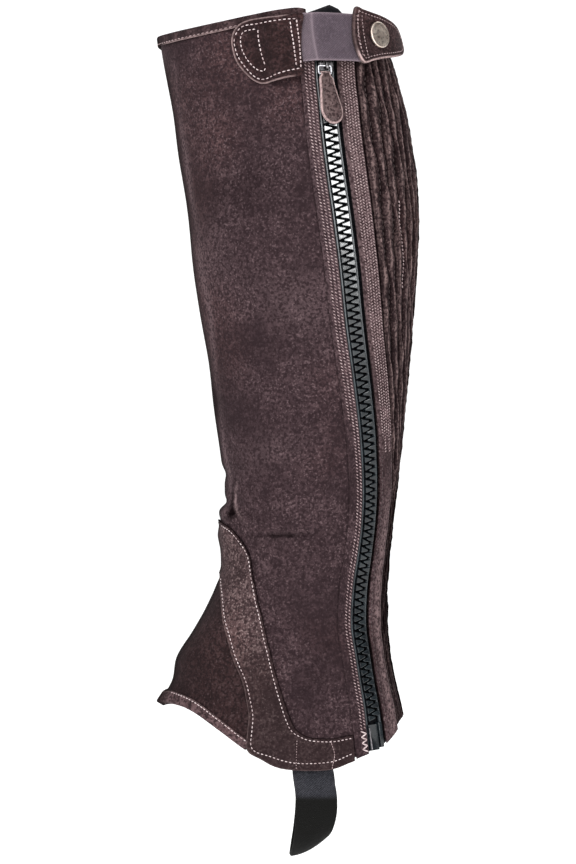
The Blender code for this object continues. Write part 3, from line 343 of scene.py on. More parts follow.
class LegForm:
    """Smooth leg with its creases, its edges and the line of its zip."""

    def __init__(self) -> None:
        """Read the tables."""
        self.front, self.back, self.widest, self.half_depth = (
            Curve(LEG, "height", column) for column in ("front", "back", "widest", "half_depth")
        )
        self.top_curve = Curve(TOP_EDGE, "turn", "height")
        self.hem_curve = Curve(HEM_EDGE, "turn", "height")
        self.zip_turn = Curve(ZIP_LINE, "height", "turn")
        self.stretch_back_turn = Curve(STRETCH_BACK_LINE, "height", "turn")

    @staticmethod
    def _mirrored(turn: Array) -> Array:
        """Fold any turn into 0 to 180, so one table serves both sides."""
        turn = np.mod(np.asarray(turn, float), 360.0)
        return np.where(turn > 180.0, 360.0 - turn, turn)

    def top(self, turn: Array) -> Array:
        """Height of the bound top edge."""
        return self.top_curve(self._mirrored(turn))

    def hem(self, turn: Array) -> Array:
        """Height of the hem."""
        return self.hem_curve(self._mirrored(turn))

    def point(self, turn: Array, height: Array) -> Array:
        """Point of the smooth leg: two half ellipses that share a depth."""
        front, back = self.front(height), self.back(height)
        widest, depth = self.widest(height), self.half_depth(height)
        angle = np.radians(turn)
        reach = np.where(np.cos(angle) > 0, widest - front, back - widest)
        across = widest - reach * np.cos(angle)
        return np.stack([across, -depth * np.sin(angle), height + 0 * angle], -1)

    def axes(self, turn: Array, height: Array) -> tuple[Array, Array]:
        """Unit vectors along the turn and along the outward normal."""
        along = self.point(turn + 0.5, height) - self.point(turn - 0.5, height)
        up = self.point(turn, height + 0.5) - self.point(turn, height - 0.5)
        normal = np.cross(along, up)
        along = along / np.linalg.norm(along, axis=-1, keepdims=True)
        return along, normal / np.linalg.norm(normal, axis=-1, keepdims=True)

    @staticmethod
    def rise(turn: Array, height: Array) -> Array:
        """How far creases and soft unevenness lift the leather off the smooth leg."""
        turn = np.mod(np.asarray(turn, float) + 180.0, 360.0) - 180.0
        rise = np.zeros(np.broadcast(turn, height).shape)
        for fold in FOLDS + FINE_CREASES:
            across = height - fold.height - fold.slope * (turn - fold.turn)
            rise += fold.rise * bell(across, fold.spread) * bell(turn - fold.turn, fold.reach)
        # whole waves fit round the leg, so the two ends of a turn meet
        rise += 0.16 * wave(turn, 60, 0.1) * wave(height, 71, 0.3)
        rise += 0.12 * wave(turn, 40, 0.6) * wave(height + 0.5 * turn, 90, 0.15)
        rise += 0.07 * wave(turn, 24, 0.2) * wave(height, 37, 0.7)
        return rise

    def skin(self, places: Array, out: float | Array) -> Array:
        """Points at places, a distance out from the leather's outer face."""
        turn, height = places[..., 0], places[..., 1]
        _, normal = self.axes(turn, height)
        out = np.asarray(out, float) + self.rise(turn, height)
        return self.point(turn, height) + normal * out[..., None]

    def walk(self, turn: Array, height: Array, distance: float) -> Array:
        """Turn reached after a distance round the leg at one height."""
        turn = np.asarray(turn, float) + 0 * np.asarray(height, float)
        steps = 6
        for _ in range(steps):
            ahead, behind = self.point(turn + 0.5, height), self.point(turn - 0.5, height)
            turn = turn + distance / steps / np.linalg.norm(ahead - behind, axis=-1)
        return turn

    def beside_zip(self, distance: float, low_clear: float, high_clear: float,
                   count: int) -> Array:
        """Row of places beside the zip, from above the hem to below the top edge.

        Args:
            distance: from the zip's centre line, positive towards the calf.
            low_clear: height of the first place over the hem.
            high_clear: depth of the last place under the top edge.
            count: number of places.

        Returns:
            The places, from the hem up.
        """
        low, high = self.hem(120.0), self.top(120.0)
        for _ in range(4):
            low = float(self.hem(self.walk(self.zip_turn(low), low, distance))) + low_clear
            high = float(self.top(self.walk(self.zip_turn(high), high, distance))) - high_clear
        heights = np.linspace(low, high, count)
        return line(self.walk(self.zip_turn(heights), heights, distance), heights)

    def zip_frame(self, height: float, reach: float = 6.0) -> Matrix:
        """Matrix of a fitting on the zip: X across the chain, Y up along it, Z outward."""
        near = np.array([height - reach, height, height + reach])
        low, middle, high = self.skin(line(self.zip_turn(near), near), np.zeros(3))
        normal = Vector(self.axes(self.zip_turn(height), height)[1])
        y_axis = Vector(high - low).normalized()
        x_axis = y_axis.cross(normal).normalized()
        return frame_matrix(middle, x_axis, y_axis, x_axis.cross(y_axis))

    def seat(self, turn: float, height: float, out: float) -> Matrix:
        """Matrix of a fitting on the leather: X round the leg, Y up, Z outward."""
        along, normal = self.axes(np.array(turn), np.array(height))
        origin = self.skin(np.array([[turn, height]]), np.array([out]))[0]
        x_axis, z_axis = Vector(along), Vector(normal)
        return frame_matrix(origin, x_axis, z_axis.cross(x_axis), z_axis)


FORM = LegForm()


class Graph:
    """Node tree of one material, built a node at a time."""

    def __init__(self, name: str) -> None:
        """Start a material with a Principled shader."""
        self.material = bpy.data.materials.new(name)
        self.material.use_nodes = True
        self.tree = self.material.node_tree
        self.shader = self.tree.nodes["Principled BSDF"]
        self.place = self.add("ShaderNodeTexCoord").outputs["Object"]

    def add(self, kind: str, **settings: object) -> bpy.types.Node:
        """Add a node and set its properties."""
        node = self.tree.nodes.new(kind)
        for key, value in settings.items():
            setattr(node, key, value)
        return node

    def feed(self, socket: Socket, value: object) -> None:
        """Link a socket's input, or set its value."""
        if isinstance(value, Socket):
            self.tree.links.new(value, socket)
        elif isinstance(value, tuple) and len(value) == 3 and socket.type == "RGBA":
            socket.default_value = (*value, 1.0)
        else:
            socket.default_value = value

    def noise(self, scale: float, detail: float = 3.0, rough: float = 0.55) -> Socket:
        """Noise over the object's own coordinates."""
        node = self.add("ShaderNodeTexNoise")
        settings = {"Vector": self.place, "Scale": scale, "Detail": detail, "Roughness": rough}
        for name, value in settings.items():
            self.feed(node.inputs[name], value)
        return node.outputs["Fac"]

    def math(self, operation: str, first: object, second: object) -> Socket:
        """One arithmetic node."""
        node = self.add("ShaderNodeMath", operation=operation)
        self.feed(node.inputs[0], first)
        self.feed(node.inputs[1], second)
        return node.outputs[0]

    def times(self, first: object, second: object) -> Socket:
        """Product of two values."""
        return self.math("MULTIPLY", first, second)

    def span(self, value: Socket, low: float, high: float,
             to_low: float = 0.0, to_high: float = 1.0) -> Socket:
        """Map a range onto another, clamped, with soft ends."""
        node = self.add("ShaderNodeMapRange", interpolation_type="SMOOTHSTEP")
        for socket, number in zip(node.inputs[1:5], (low, high, to_low, to_high)):
            socket.default_value = number
        self.feed(node.inputs[0], value)
        return node.outputs[0]

    def mix(self, share: object, first: object, second: object, blend: str = "MIX") -> Socket:
        """Mix two colours."""
        node = self.add("ShaderNodeMix", data_type="RGBA", blend_type=blend)
        for socket, value in zip((node.inputs[k] for k in (0, 6, 7)), (share, first, second)):
            self.feed(socket, value)
        return node.outputs[2]

    def mark(self, name: str) -> Socket:
        """Value painted on the mesh, 0 where the mesh has none."""
        return self.add("ShaderNodeAttribute", attribute_name=name).outputs["Fac"]

    def grid_wave(self, across: float, along: float) -> Socket:
        """Weave of two sine waves over the piece's UV map, which is in millimetres.

        Args:
            across: thread spacing across.
            along: thread spacing along.

        Returns:
            Height of the weave, from 0 to 1.
        """
        split = self.add("ShaderNodeSeparateXYZ")
        self.feed(split.inputs[0], self.add("ShaderNodeUVMap", uv_map="places").outputs[0])
        threads = [
            self.math("SINE", self.times(split.outputs[k], 2 * math.pi / spacing), 0.0)
            for k, spacing in enumerate((across, along))
        ]
        return self.math("ADD", self.times(self.times(*threads), 0.5), 0.5)

    def bump(self, height: Socket, distance: float, strength: float) -> None:
        """Bump the shader by a height, over what it already has."""
        node = self.add("ShaderNodeBump")
        self.feed(node.inputs["Strength"], strength)
        self.feed(node.inputs["Distance"], distance)
        self.feed(node.inputs["Height"], height)
        normal = self.shader.inputs["Normal"]
        if normal.is_linked:
            self.feed(node.inputs["Normal"], normal.links[0].from_socket)
        self.feed(normal, node.outputs[0])

    def set(self, **values: object) -> None:
        """Set or link the shader's sockets; a name's underscores are spaces."""
        for key, value in values.items():
            self.feed(self.shader.inputs[key.replace("_", " ")], value)


@dataclass(frozen=True)
class Suede:
    """Napped leather: mottled, grainy, with a light raw edge where the mesh marks one."""

    name: str
    slot: str
    deep: Colour
    body: Colour
    nap: Colour
    raw: Colour = (0.50, 0.36, 0.35)
    warm: Colour = (0.62, 0.50, 0.44)

    def build(self) -> bpy.types.Material:
        """Make the material."""
        g = Graph(self.name)
        patches = g.noise(22.0, 4.0, 0.6)
        mottle = g.noise(190.0, 5.0, 0.72)
        grain = g.noise(620.0, 1.5, 0.6)
        blend = g.math("ADD", g.times(patches, 0.55), g.times(mottle, 0.65))
        colour = g.mix(g.span(blend, 0.42, 0.78), self.deep, self.body)
        nap_lift = g.times(g.span(patches, 0.42, 0.62), g.span(mottle, 0.50, 0.72))
        colour = g.mix(g.times(nap_lift, 0.5), colour, self.nap)
        cloud = g.span(g.noise(9.0, 2.0), 0.45, 0.65, 0.0, 0.6)
        colour = g.mix(cloud, colour, self.warm, "SOFT_LIGHT")
        speck = g.span(g.noise(900.0, 1.5, 0.6), 0.52, 0.70, 0.0, 0.8)
        speck = g.times(speck, g.span(patches, 0.38, 0.60, 0.30, 1.0))
        colour = g.mix(speck, colour, self.nap)
        colour = g.mix(g.span(grain, 0.38, 0.56, 0.9, 0.0), colour, self.deep)
        colour = g.mix(g.times(g.mark("shade"), 0.8), colour, self.deep)
        # the crest mark lightens towards the nap colour: painted highlight on ridges, rib crests,
        # crease tops and folds; the zip strips are also lighter towards the top
        crest = g.times(g.mark("crest"), g.span(grain, 0.38, 0.56, 0.15, 1.0))
        colour = g.mix(crest, colour, self.nap)
        # painted shade: the valley mark darkens creases, rib valleys, edges beside raised strips
        # and the edges of the outline to near black; it also darkens the ribs towards the ankle and
        # the ankle strip towards the hem
        dark = tuple(0.12 * channel for channel in self.deep)
        colour = g.mix(g.times(g.mark("valley"), 0.92), colour, dark)
        edge = g.times(g.mark("raw"), g.span(grain, 0.30, 0.60, 0.55, 1.0))
        colour = g.mix(edge, colour, self.raw)
        # specular and sheen are cut under the painted shade, so it stays dark at grazing angles
        lit = g.math("SUBTRACT", 1.0, g.mark("valley"))
        g.set(Base_Color=colour, Roughness=0.96, Specular_IOR_Level=g.times(lit, 0.12),
              Sheen_Weight=g.times(lit, 0.05), Sheen_Roughness=0.4,
              Sheen_Tint=(0.75, 0.55, 0.58, 1.0))
        g.bump(mottle, 0.0007, 0.6)
        g.bump(grain, 0.0004, 0.9)
        return g.material


@dataclass(frozen=True)
class TwoTone:
    """Finish between a dark and a light tone."""

    name: str
    slot: str
    low: Colour
    high: Colour


@dataclass(frozen=True)
class Webbing(TwoTone):
    """Woven elastic, with a spacing of its threads each way."""

    across: float
    along: float
    selvage: Colour = (0.30, 0.235, 0.265)
    dark_below: float | None = None
    dark_below_colour: Colour = (0.0055, 0.0055, 0.005)

    def build(self) -> bpy.types.Material:
        """Make the material."""
        g = Graph(self.name)
        weave = g.grid_wave(self.across, self.along)
        cloud = g.noise(120.0, 3.0, 0.6)
        colour = g.mix(g.span(weave, 0.0, 1.0, 0.2, 0.8), self.low, self.high)
        colour = g.mix(g.span(cloud, 0.35, 0.7, 0.0, 0.4), colour, self.low)
        fluff = g.span(g.noise(900.0, 2.0, 0.6), 0.48, 0.68, 0.0, 0.6)
        colour = g.mix(fluff, colour, self.high)
        colour = g.mix(g.times(g.mark("raw"), 0.8), colour, self.selvage)
        # below a set height the colour turns near black
        if self.dark_below is not None:
            split = g.add("ShaderNodeSeparateXYZ")
            g.feed(split.inputs[0], g.place)
            high = self.dark_below + 0.004
            lower = g.span(split.outputs[2], self.dark_below, high, 1.0, 0.0)
            colour = g.mix(lower, colour, self.dark_below_colour)
        g.set(Base_Color=colour, Roughness=0.9, Specular_IOR_Level=0.12)
        g.bump(weave, 0.00035, 0.9)
        return g.material


@dataclass(frozen=True)
class Thread(TwoTone):
    """Sewing thread, lighter and darker along its run."""

    def build(self) -> bpy.types.Material:
        """Make the material."""
        g = Graph(self.name)
        change = g.span(g.noise(260.0, 3.0, 0.7), 0.35, 0.65)
        colour = g.mix(change, self.low, self.high)
        g.set(Base_Color=colour, Roughness=0.6, Specular_IOR_Level=0.35, Sheen_Weight=0.1)
        g.bump(g.noise(3000.0, 2.0), 0.0001, 0.6)
        return g.material


@dataclass(frozen=True)
class Plastic(TwoTone):
    """Moulded zip plastic."""

    roughness: float = 0.2
    index: float = 1.8

    def build(self) -> bpy.types.Material:
        """Make the material."""
        g = Graph(self.name)
        cloud = g.noise(90.0, 3.0, 0.6)
        colour = g.mix(g.span(cloud, 0.35, 0.65), self.low, self.high)
        rough = g.span(g.noise(700.0, 2.0), 0.3, 0.7, self.roughness, self.roughness + 0.12)
        # gloss cut by painted shade, where the teeth catch no light
        gloss = g.math("SUBTRACT", 1.0, g.times(g.mark("gloss_shade"), 0.72))
        g.set(Base_Color=colour, Roughness=rough, Specular_IOR_Level=gloss, IOR=self.index)
        g.bump(g.noise(900.0, 2.0), 0.00004, 0.5)
        return g.material


@dataclass(frozen=True)
class Metal(TwoTone):
    """Plated metal with a worn, clouded finish."""

    roughness: float = 0.32

    def build(self) -> bpy.types.Material:
        """Make the material."""
        g = Graph(self.name)
        cloud = g.noise(230.0, 4.0, 0.65)
        colour = g.mix(g.span(cloud, 0.38, 0.62), self.low, self.high)
        rough = g.span(g.noise(500.0, 3.0), 0.3, 0.7, self.roughness - 0.06, self.roughness + 0.14)
        g.set(Base_Color=colour, Roughness=rough, Metallic=1.0)
        g.bump(g.noise(1300.0, 3.0), 0.00006, 0.5)
        return g.material


class Finish(Enum):
    """Finishes of the chap."""

    SUEDE = Suede("suede", "suede", (0.019, 0.0105, 0.0125), (0.052, 0.031, 0.035),
                  (0.125, 0.084, 0.090))
    DARK = Suede("suede_dark", "suede", (0.012, 0.0065, 0.007), (0.040, 0.022, 0.024),
                 (0.092, 0.060, 0.062))
    RIBS = Suede("suede_ribs", "suede", (0.013, 0.0068, 0.0078), (0.046, 0.026, 0.028),
                 (0.200, 0.136, 0.131))
    TRIM = Suede("suede_trim", "suede_trim", (0.022, 0.0125, 0.0135), (0.082, 0.051, 0.053),
                 (0.240, 0.175, 0.170))
    BAND = Suede("suede_band", "suede_band", (0.023, 0.0130, 0.0143), (0.069, 0.042, 0.047),
                 (0.200, 0.136, 0.138))
    EDGE = Suede("suede_binding", "suede_binding", (0.016, 0.0095, 0.0105), (0.050, 0.030, 0.033),
                 (0.145, 0.092, 0.096))
    ELASTIC = Webbing("closure_elastic", "elastic", (0.040, 0.030, 0.038), (0.130, 0.100, 0.122),
                      1.5, 1.3)
    STRAP = Webbing("boot_elastic", "strap_elastic", (0.004, 0.0045, 0.007), (0.050, 0.050, 0.059),
                    1.5, 1.3, (0.05, 0.05, 0.055), -0.428)
    TAPE = Webbing("zip_tape", "zip_tape", (0.004, 0.004, 0.005), (0.016, 0.016, 0.020), 0.7, 0.9,
                   (0.030, 0.026, 0.030))
    TEETH = Plastic("zip_teeth", "zip_teeth", (0.004, 0.006, 0.008), (0.010, 0.015, 0.018), 0.13)
    CORD = Plastic("zip_cord", "zip_tape", (0.014, 0.018, 0.022), (0.034, 0.043, 0.050), 0.40)
    SNAP = Metal("snap_metal", "snap_metal", (0.62, 0.50, 0.43), (0.95, 0.82, 0.72), 0.30)
    PIN = Metal("glint_rod_metal", "snap_metal", (0.20, 0.19, 0.20), (0.42, 0.40, 0.42), 0.38)
    BAIL = Metal("bail_metal", "slider_metal", (0.22, 0.22, 0.24), (0.66, 0.66, 0.70), 0.32)
    SLIDER = Metal("slider_metal", "slider_metal", (0.030, 0.029, 0.031), (0.13, 0.125, 0.128),
                   0.24)
    THREAD = Thread("thread", "thread", (0.21, 0.135, 0.138), (0.47, 0.35, 0.35))
    BRIGHT_THREAD = Thread("bright_thread", "thread", (0.42, 0.31, 0.31), (0.76, 0.64, 0.64))
    DARK_THREAD = Thread("dark_thread", "thread", (0.030, 0.019, 0.020), (0.105, 0.070, 0.070))


MATERIALS: dict[Finish, bpy.types.Material] = {}


def dress(piece: Piece, finish: Finish, body: str = ROOT, nodes: Sequence[str] = ()) -> Piece:
    """Give a piece its finish, its body and the solids it stands for.

    Args:
        piece: finished object at the origin.
        finish: its finish.
        body: the body it rides on.
        nodes: the solids it replaces.

    Returns:
        The piece.
    """
    if finish not in MATERIALS:
        MATERIALS[finish] = finish.value.build()
    piece.data.materials.clear()
    piece.data.materials.append(MATERIALS[finish])
    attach(piece, body)
    if nodes:
        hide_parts(*nodes)
    faces = len(piece.data.polygons)
    log.info("%s: %d faces, finish %s, rides on %s", piece.name, faces, finish.value.name, body)
    return piece


def new_mesh(name: str, points: Array, faces: list[tuple[int, ...]]) -> Piece:
    """Smooth-shaded object from points in millimetres and faces."""
    mesh = bpy.data.meshes.new(name)
    mesh.from_pydata((np.asarray(points) * MM).tolist(), [], faces)
    mesh.validate()
    mesh.shade_smooth()
    piece = bpy.data.objects.new(name, mesh)
    bpy.context.scene.collection.objects.link(piece)
    return piece


def face_out(piece: Piece) -> None:
    """Point the faces of a closed mesh outwards."""
    bm = bmesh.new()
    bm.from_mesh(piece.data)
    bmesh.ops.recalc_face_normals(bm, faces=bm.faces)
    bm.to_mesh(piece.data)
    bm.free()


def stack_faces(rings: int, count: int) -> list[tuple[int, ...]]:
    """Faces of a closed skin over a stack of rings of points, with a cap at each end."""
    index = np.arange(rings * count).reshape(rings, count)
    ahead = np.roll(index, -1, 1)
    quads = np.stack([index[:-1], ahead[:-1], ahead[1:], index[1:]], -1)
    faces = [tuple(face) for face in quads.reshape(-1, 4).tolist()]
    return faces + [tuple(index[0][::-1].tolist()), tuple(index[-1].tolist())]


def copied_faces(faces: list[tuple[int, ...]], copies: int, count: int) -> list[tuple[int, ...]]:
    """Faces of copies of a form in one mesh, with the same count of points in each."""
    return [tuple(number + k * count for number in face) for k in range(copies) for face in faces]


def seat_in_mm(piece: Piece, matrix: Matrix) -> None:
    """Bring a mesh that is in metres to its seat by a matrix in millimetres."""
    piece.data.transform(Matrix.Scale(MM, 4) @ matrix @ Matrix.Scale(1 / MM, 4))


def paint(piece: Piece, name: str, values: Array) -> None:
    """Write a value for each point of a mesh."""
    mark = piece.data.attributes.new(name, "FLOAT", "POINT")
    mark.data.foreach_set("value", np.asarray(values, np.float32).ravel())


def map_places(piece: Piece, uv: Array) -> None:
    """Give a mesh a UV map in millimetres from a value for each point."""
    layer = piece.data.uv_layers.new(name="places")
    corners = np.zeros(len(piece.data.loops), np.int32)
    piece.data.loops.foreach_get("vertex_index", corners)
    layer.data.foreach_set("uv", np.asarray(uv, np.float32)[corners].ravel())


def with_margins(grid: Array, spacing: Array, margin: float) -> Array:
    """Add a row next to each edge of a grid, a margin in from it.

    Args:
        grid: values by row and column.
        spacing: points of the same grid, which give its distances.
        margin: distance from the edge in millimetres.

    Returns:
        The grid with two more rows and two more columns.
    """
    for axis in (0, 1):
        rows = np.moveaxis(grid, axis, 0)
        place = np.moveaxis(spacing, axis, 0)
        ends = []
        for edge, inside in ((0, 1), (-1, -2)):
            reach = np.linalg.norm(place[inside] - place[edge], axis=-1)[:, None]
            share = np.clip(margin / np.maximum(reach, 0.01), 0.05, 0.5)
            share = share if rows.ndim == 3 else share[:, 0]
            near = rows[edge] + (rows[inside] - rows[edge]) * share
            near_place = place[edge] + (place[inside] - place[edge]) * np.reshape(share, (-1, 1))
            ends.append((near[None], near_place[None]))
        rows = np.concatenate([rows[:1], ends[0][0], rows[1:-1], ends[1][0], rows[-1:]])
        place = np.concatenate([place[:1], ends[0][1], place[1:-1], ends[1][1], place[-1:]])
        grid, spacing = np.moveaxis(rows, 0, axis), np.moveaxis(place, 0, axis)
    return grid


def shell(name: str, places: Array, outer: float | Array, inner: float | Array,
          marks: dict[str, Array], margin: float = 0.45) -> Piece:
    """Closed leather shell with rounded rims over a grid of places on the leg.

    Args:
        name: the piece's name.
        places: turns and heights by row and column.
        outer: height of the outer face over the leather.
        inner: height of the inner face.
        marks: values to paint on the outer face.
        margin: width of the rim's rounding.

    Returns:
        The piece.
    """
    flat = np.zeros(places.shape[:2])
    top, low = (FORM.skin(places, flat + out) for out in (outer, inner))
    return solid_from_grids(name, top, low, marks, margin)


def solid_from_grids(name: str, top: Array, low: Array,
                     marks: dict[str, Array], margin: float) -> Piece:
    """Closed solid between two grids of points, with rounded rims.

    Args:
        name: the piece's name.
        top: points of the outer face by row and column.
        low: points of the inner face.
        marks: values to paint on the outer face.
        margin: width of the rim's rounding.

    Returns:
        The piece.
    """
    marks = {key: with_margins(value, top, margin) for key, value in marks.items()}
    low = with_margins(low, top, margin)
    top = with_margins(top, top, margin)
    rows, columns = top.shape[:2]
    rim = np.zeros((rows, columns), bool)
    rim[[0, -1]] = True
    rim[:, [0, -1]] = True
    rounding = np.where(rim[..., None], (low - top) * RIM_ROUNDING, 0.0)
    top, low = top + rounding, low - rounding
    count = rows * columns
    index = np.arange(count).reshape(rows, columns)
    quads = np.stack([index[:-1, :-1], index[:-1, 1:], index[1:, 1:], index[1:, :-1]], -1)
    faces = [tuple(face) for face in quads.reshape(-1, 4).tolist()]
    faces += [tuple(count + number for number in reversed(face)) for face in faces]
    border = np.concatenate([index[0, :], index[1:, -1], index[-1, -2::-1], index[-2:0:-1, 0]])
    ahead = np.roll(border, -1)
    faces += [(a, a + count, b + count, b) for a, b in zip(border.tolist(), ahead.tolist())]
    points = np.concatenate([top.reshape(-1, 3), low.reshape(-1, 3)])
    piece = new_mesh(name, points, faces)
    face_out(piece)
    for key, value in marks.items():
        paint(piece, key, np.concatenate([value.ravel(), np.where(rim, value, 0.0).ravel()]))
    u, v = (
        np.cumsum([0, *np.linalg.norm(np.diff(top, axis=axis), axis=-1).mean(1 - axis)])
        for axis in (1, 0)
    )
    uv = np.stack(np.meshgrid(u, v), -1).reshape(-1, 2)
    map_places(piece, np.concatenate([uv, uv]))
    return piece


LOW_EDGE, HIGH_EDGE, LAST_COLUMN = np.s_[0], np.s_[-1], np.s_[:, -1]


def border_mark(places: Array, *edges: object, amount: float = 1.0) -> Array:
    """Mark along chosen edges of a grid, for a raw cut edge."""
    mark = np.zeros(places.shape[:2])
    for edge in edges:
        mark[edge] = amount
    return mark


class Stitching:
    """Stitches of one thread, joined in one mesh."""

    FLATNESS = 0.85
    END_REACH = 0.4

    def __init__(self, name: str, finish: Finish, thickness: float = 0.55) -> None:
        """Start with no stitch.

        Args:
            name: the piece's name.
            finish: the thread's finish.
            thickness: thickness of a stitch.
        """
        self.name, self.finish, self.thickness = name, finish, thickness
        self.starts: list[Array] = []
        self.ends: list[Array] = []
        self.ups: list[Array] = []

    @staticmethod
    def _track(places: Array, out: float | Array) -> tuple[Array, ...]:
        """Points, normals and distances along a row of places."""
        points = FORM.skin(places, np.zeros(len(places)) + out)
        normals = FORM.axes(places[:, 0], places[:, 1])[1]
        steps = np.linalg.norm(np.diff(points, axis=0), axis=1)
        return points, normals, np.concatenate([[0.0], np.cumsum(steps)])

    @staticmethod
    def _read(values: Array, length: Array, at: Array) -> Array:
        """Vectors at distances along a track."""
        return np.stack([np.interp(at, length, values[:, k]) for k in range(3)], -1)

    def add(self, starts: Array, ends: Array, ups: Array) -> None:
        """Add stitches between pairs of points, standing up along a normal."""
        self.starts.append(starts)
        self.ends.append(ends)
        self.ups.append(ups)

    def row(self, places: Array, out: float | Array, pitch: float, share: float,
            slant: float = 0.0) -> None:
        """Run of separate stitches.

        Args:
            places: row of places that the thread follows.
            out: height of the leather under it.
            pitch: distance from stitch to stitch.
            share: share of the pitch that shows as thread.
            slant: how far each stitch's ends lie to either side of the row.
        """
        points, normals, length = self._track(places, out)
        middles = np.arange(0.6 * pitch, length[-1] - 0.4 * pitch, pitch)
        reach = 0.5 * pitch * share
        first = self._read(points, length, middles - reach)
        last = self._read(points, length, middles + reach)
        ups = self._read(normals, length, middles)
        side = np.cross(ups, last - first)
        side /= np.linalg.norm(side, axis=1, keepdims=True)
        self.add(first - slant * side, last + slant * side, ups)

    def zigzag(self, places: Array, out: float | Array, step: float, swing: float,
               share: float) -> None:
        """Unbroken zigzag.

        Args:
            places: row of places in the middle of the zigzag.
            out: height of the leather under it.
            step: distance along the row from corner to corner.
            swing: distance of a corner from the row.
            share: share of each leg that shows as thread.
        """
        points, normals, length = self._track(places, out)
        at = np.arange(0.3 * step, length[-1] - 0.3 * step, step)
        base, ups = self._read(points, length, at), self._read(normals, length, at)
        side = np.cross(ups, np.gradient(base, axis=0))
        side /= np.linalg.norm(side, axis=1, keepdims=True)
        swings = swing * np.where(np.arange(len(at)) % 2, 1.0, -1.0)[:, None]
        corners = base + side * swings
        middles, legs = 0.5 * (corners[1:] + corners[:-1]), np.diff(corners, axis=0)
        self.add(middles - 0.5 * share * legs, middles + 0.5 * share * legs, ups[1:])

    @staticmethod
    def _stitch_form() -> tuple[Array, list[tuple[int, ...]]]:
        """Points and faces of one stitch of unit length and thickness."""
        Bench.clear()
        bpy.ops.mesh.primitive_uv_sphere_add(segments=6, ring_count=5, radius=0.5,
                                             rotation=(0, math.pi / 2, 0))
        bpy.ops.object.transform_apply(location=False, rotation=True, scale=False)
        return Bench.take(bpy.context.object)

    def build(self, body: str = ROOT) -> None:
        """Make the joined mesh."""
        form, form_faces = self._stitch_form()
        starts, ends = np.concatenate(self.starts), np.concatenate(self.ends)
        ups = np.concatenate(self.ups)
        along = ends - starts
        length = np.linalg.norm(along, axis=1, keepdims=True)
        along = along / length
        side = np.cross(ups, along)
        side /= np.linalg.norm(side, axis=1, keepdims=True)
        up = np.cross(along, side)
        middle = 0.5 * (starts + ends)
        wide = self.thickness
        points = (
            middle[:, None]
            + along[:, None] * (form[None, :, :1] * (length[:, None] + self.END_REACH * wide))
            + side[:, None] * form[None, :, 1:2] * wide
            + up[:, None] * form[None, :, 2:] * wide * self.FLATNESS
        )
        faces = copied_faces(form_faces, len(points), len(form))
        piece = new_mesh(self.name, points.reshape(-1, 3), faces)
        dress(piece, self.finish, body)


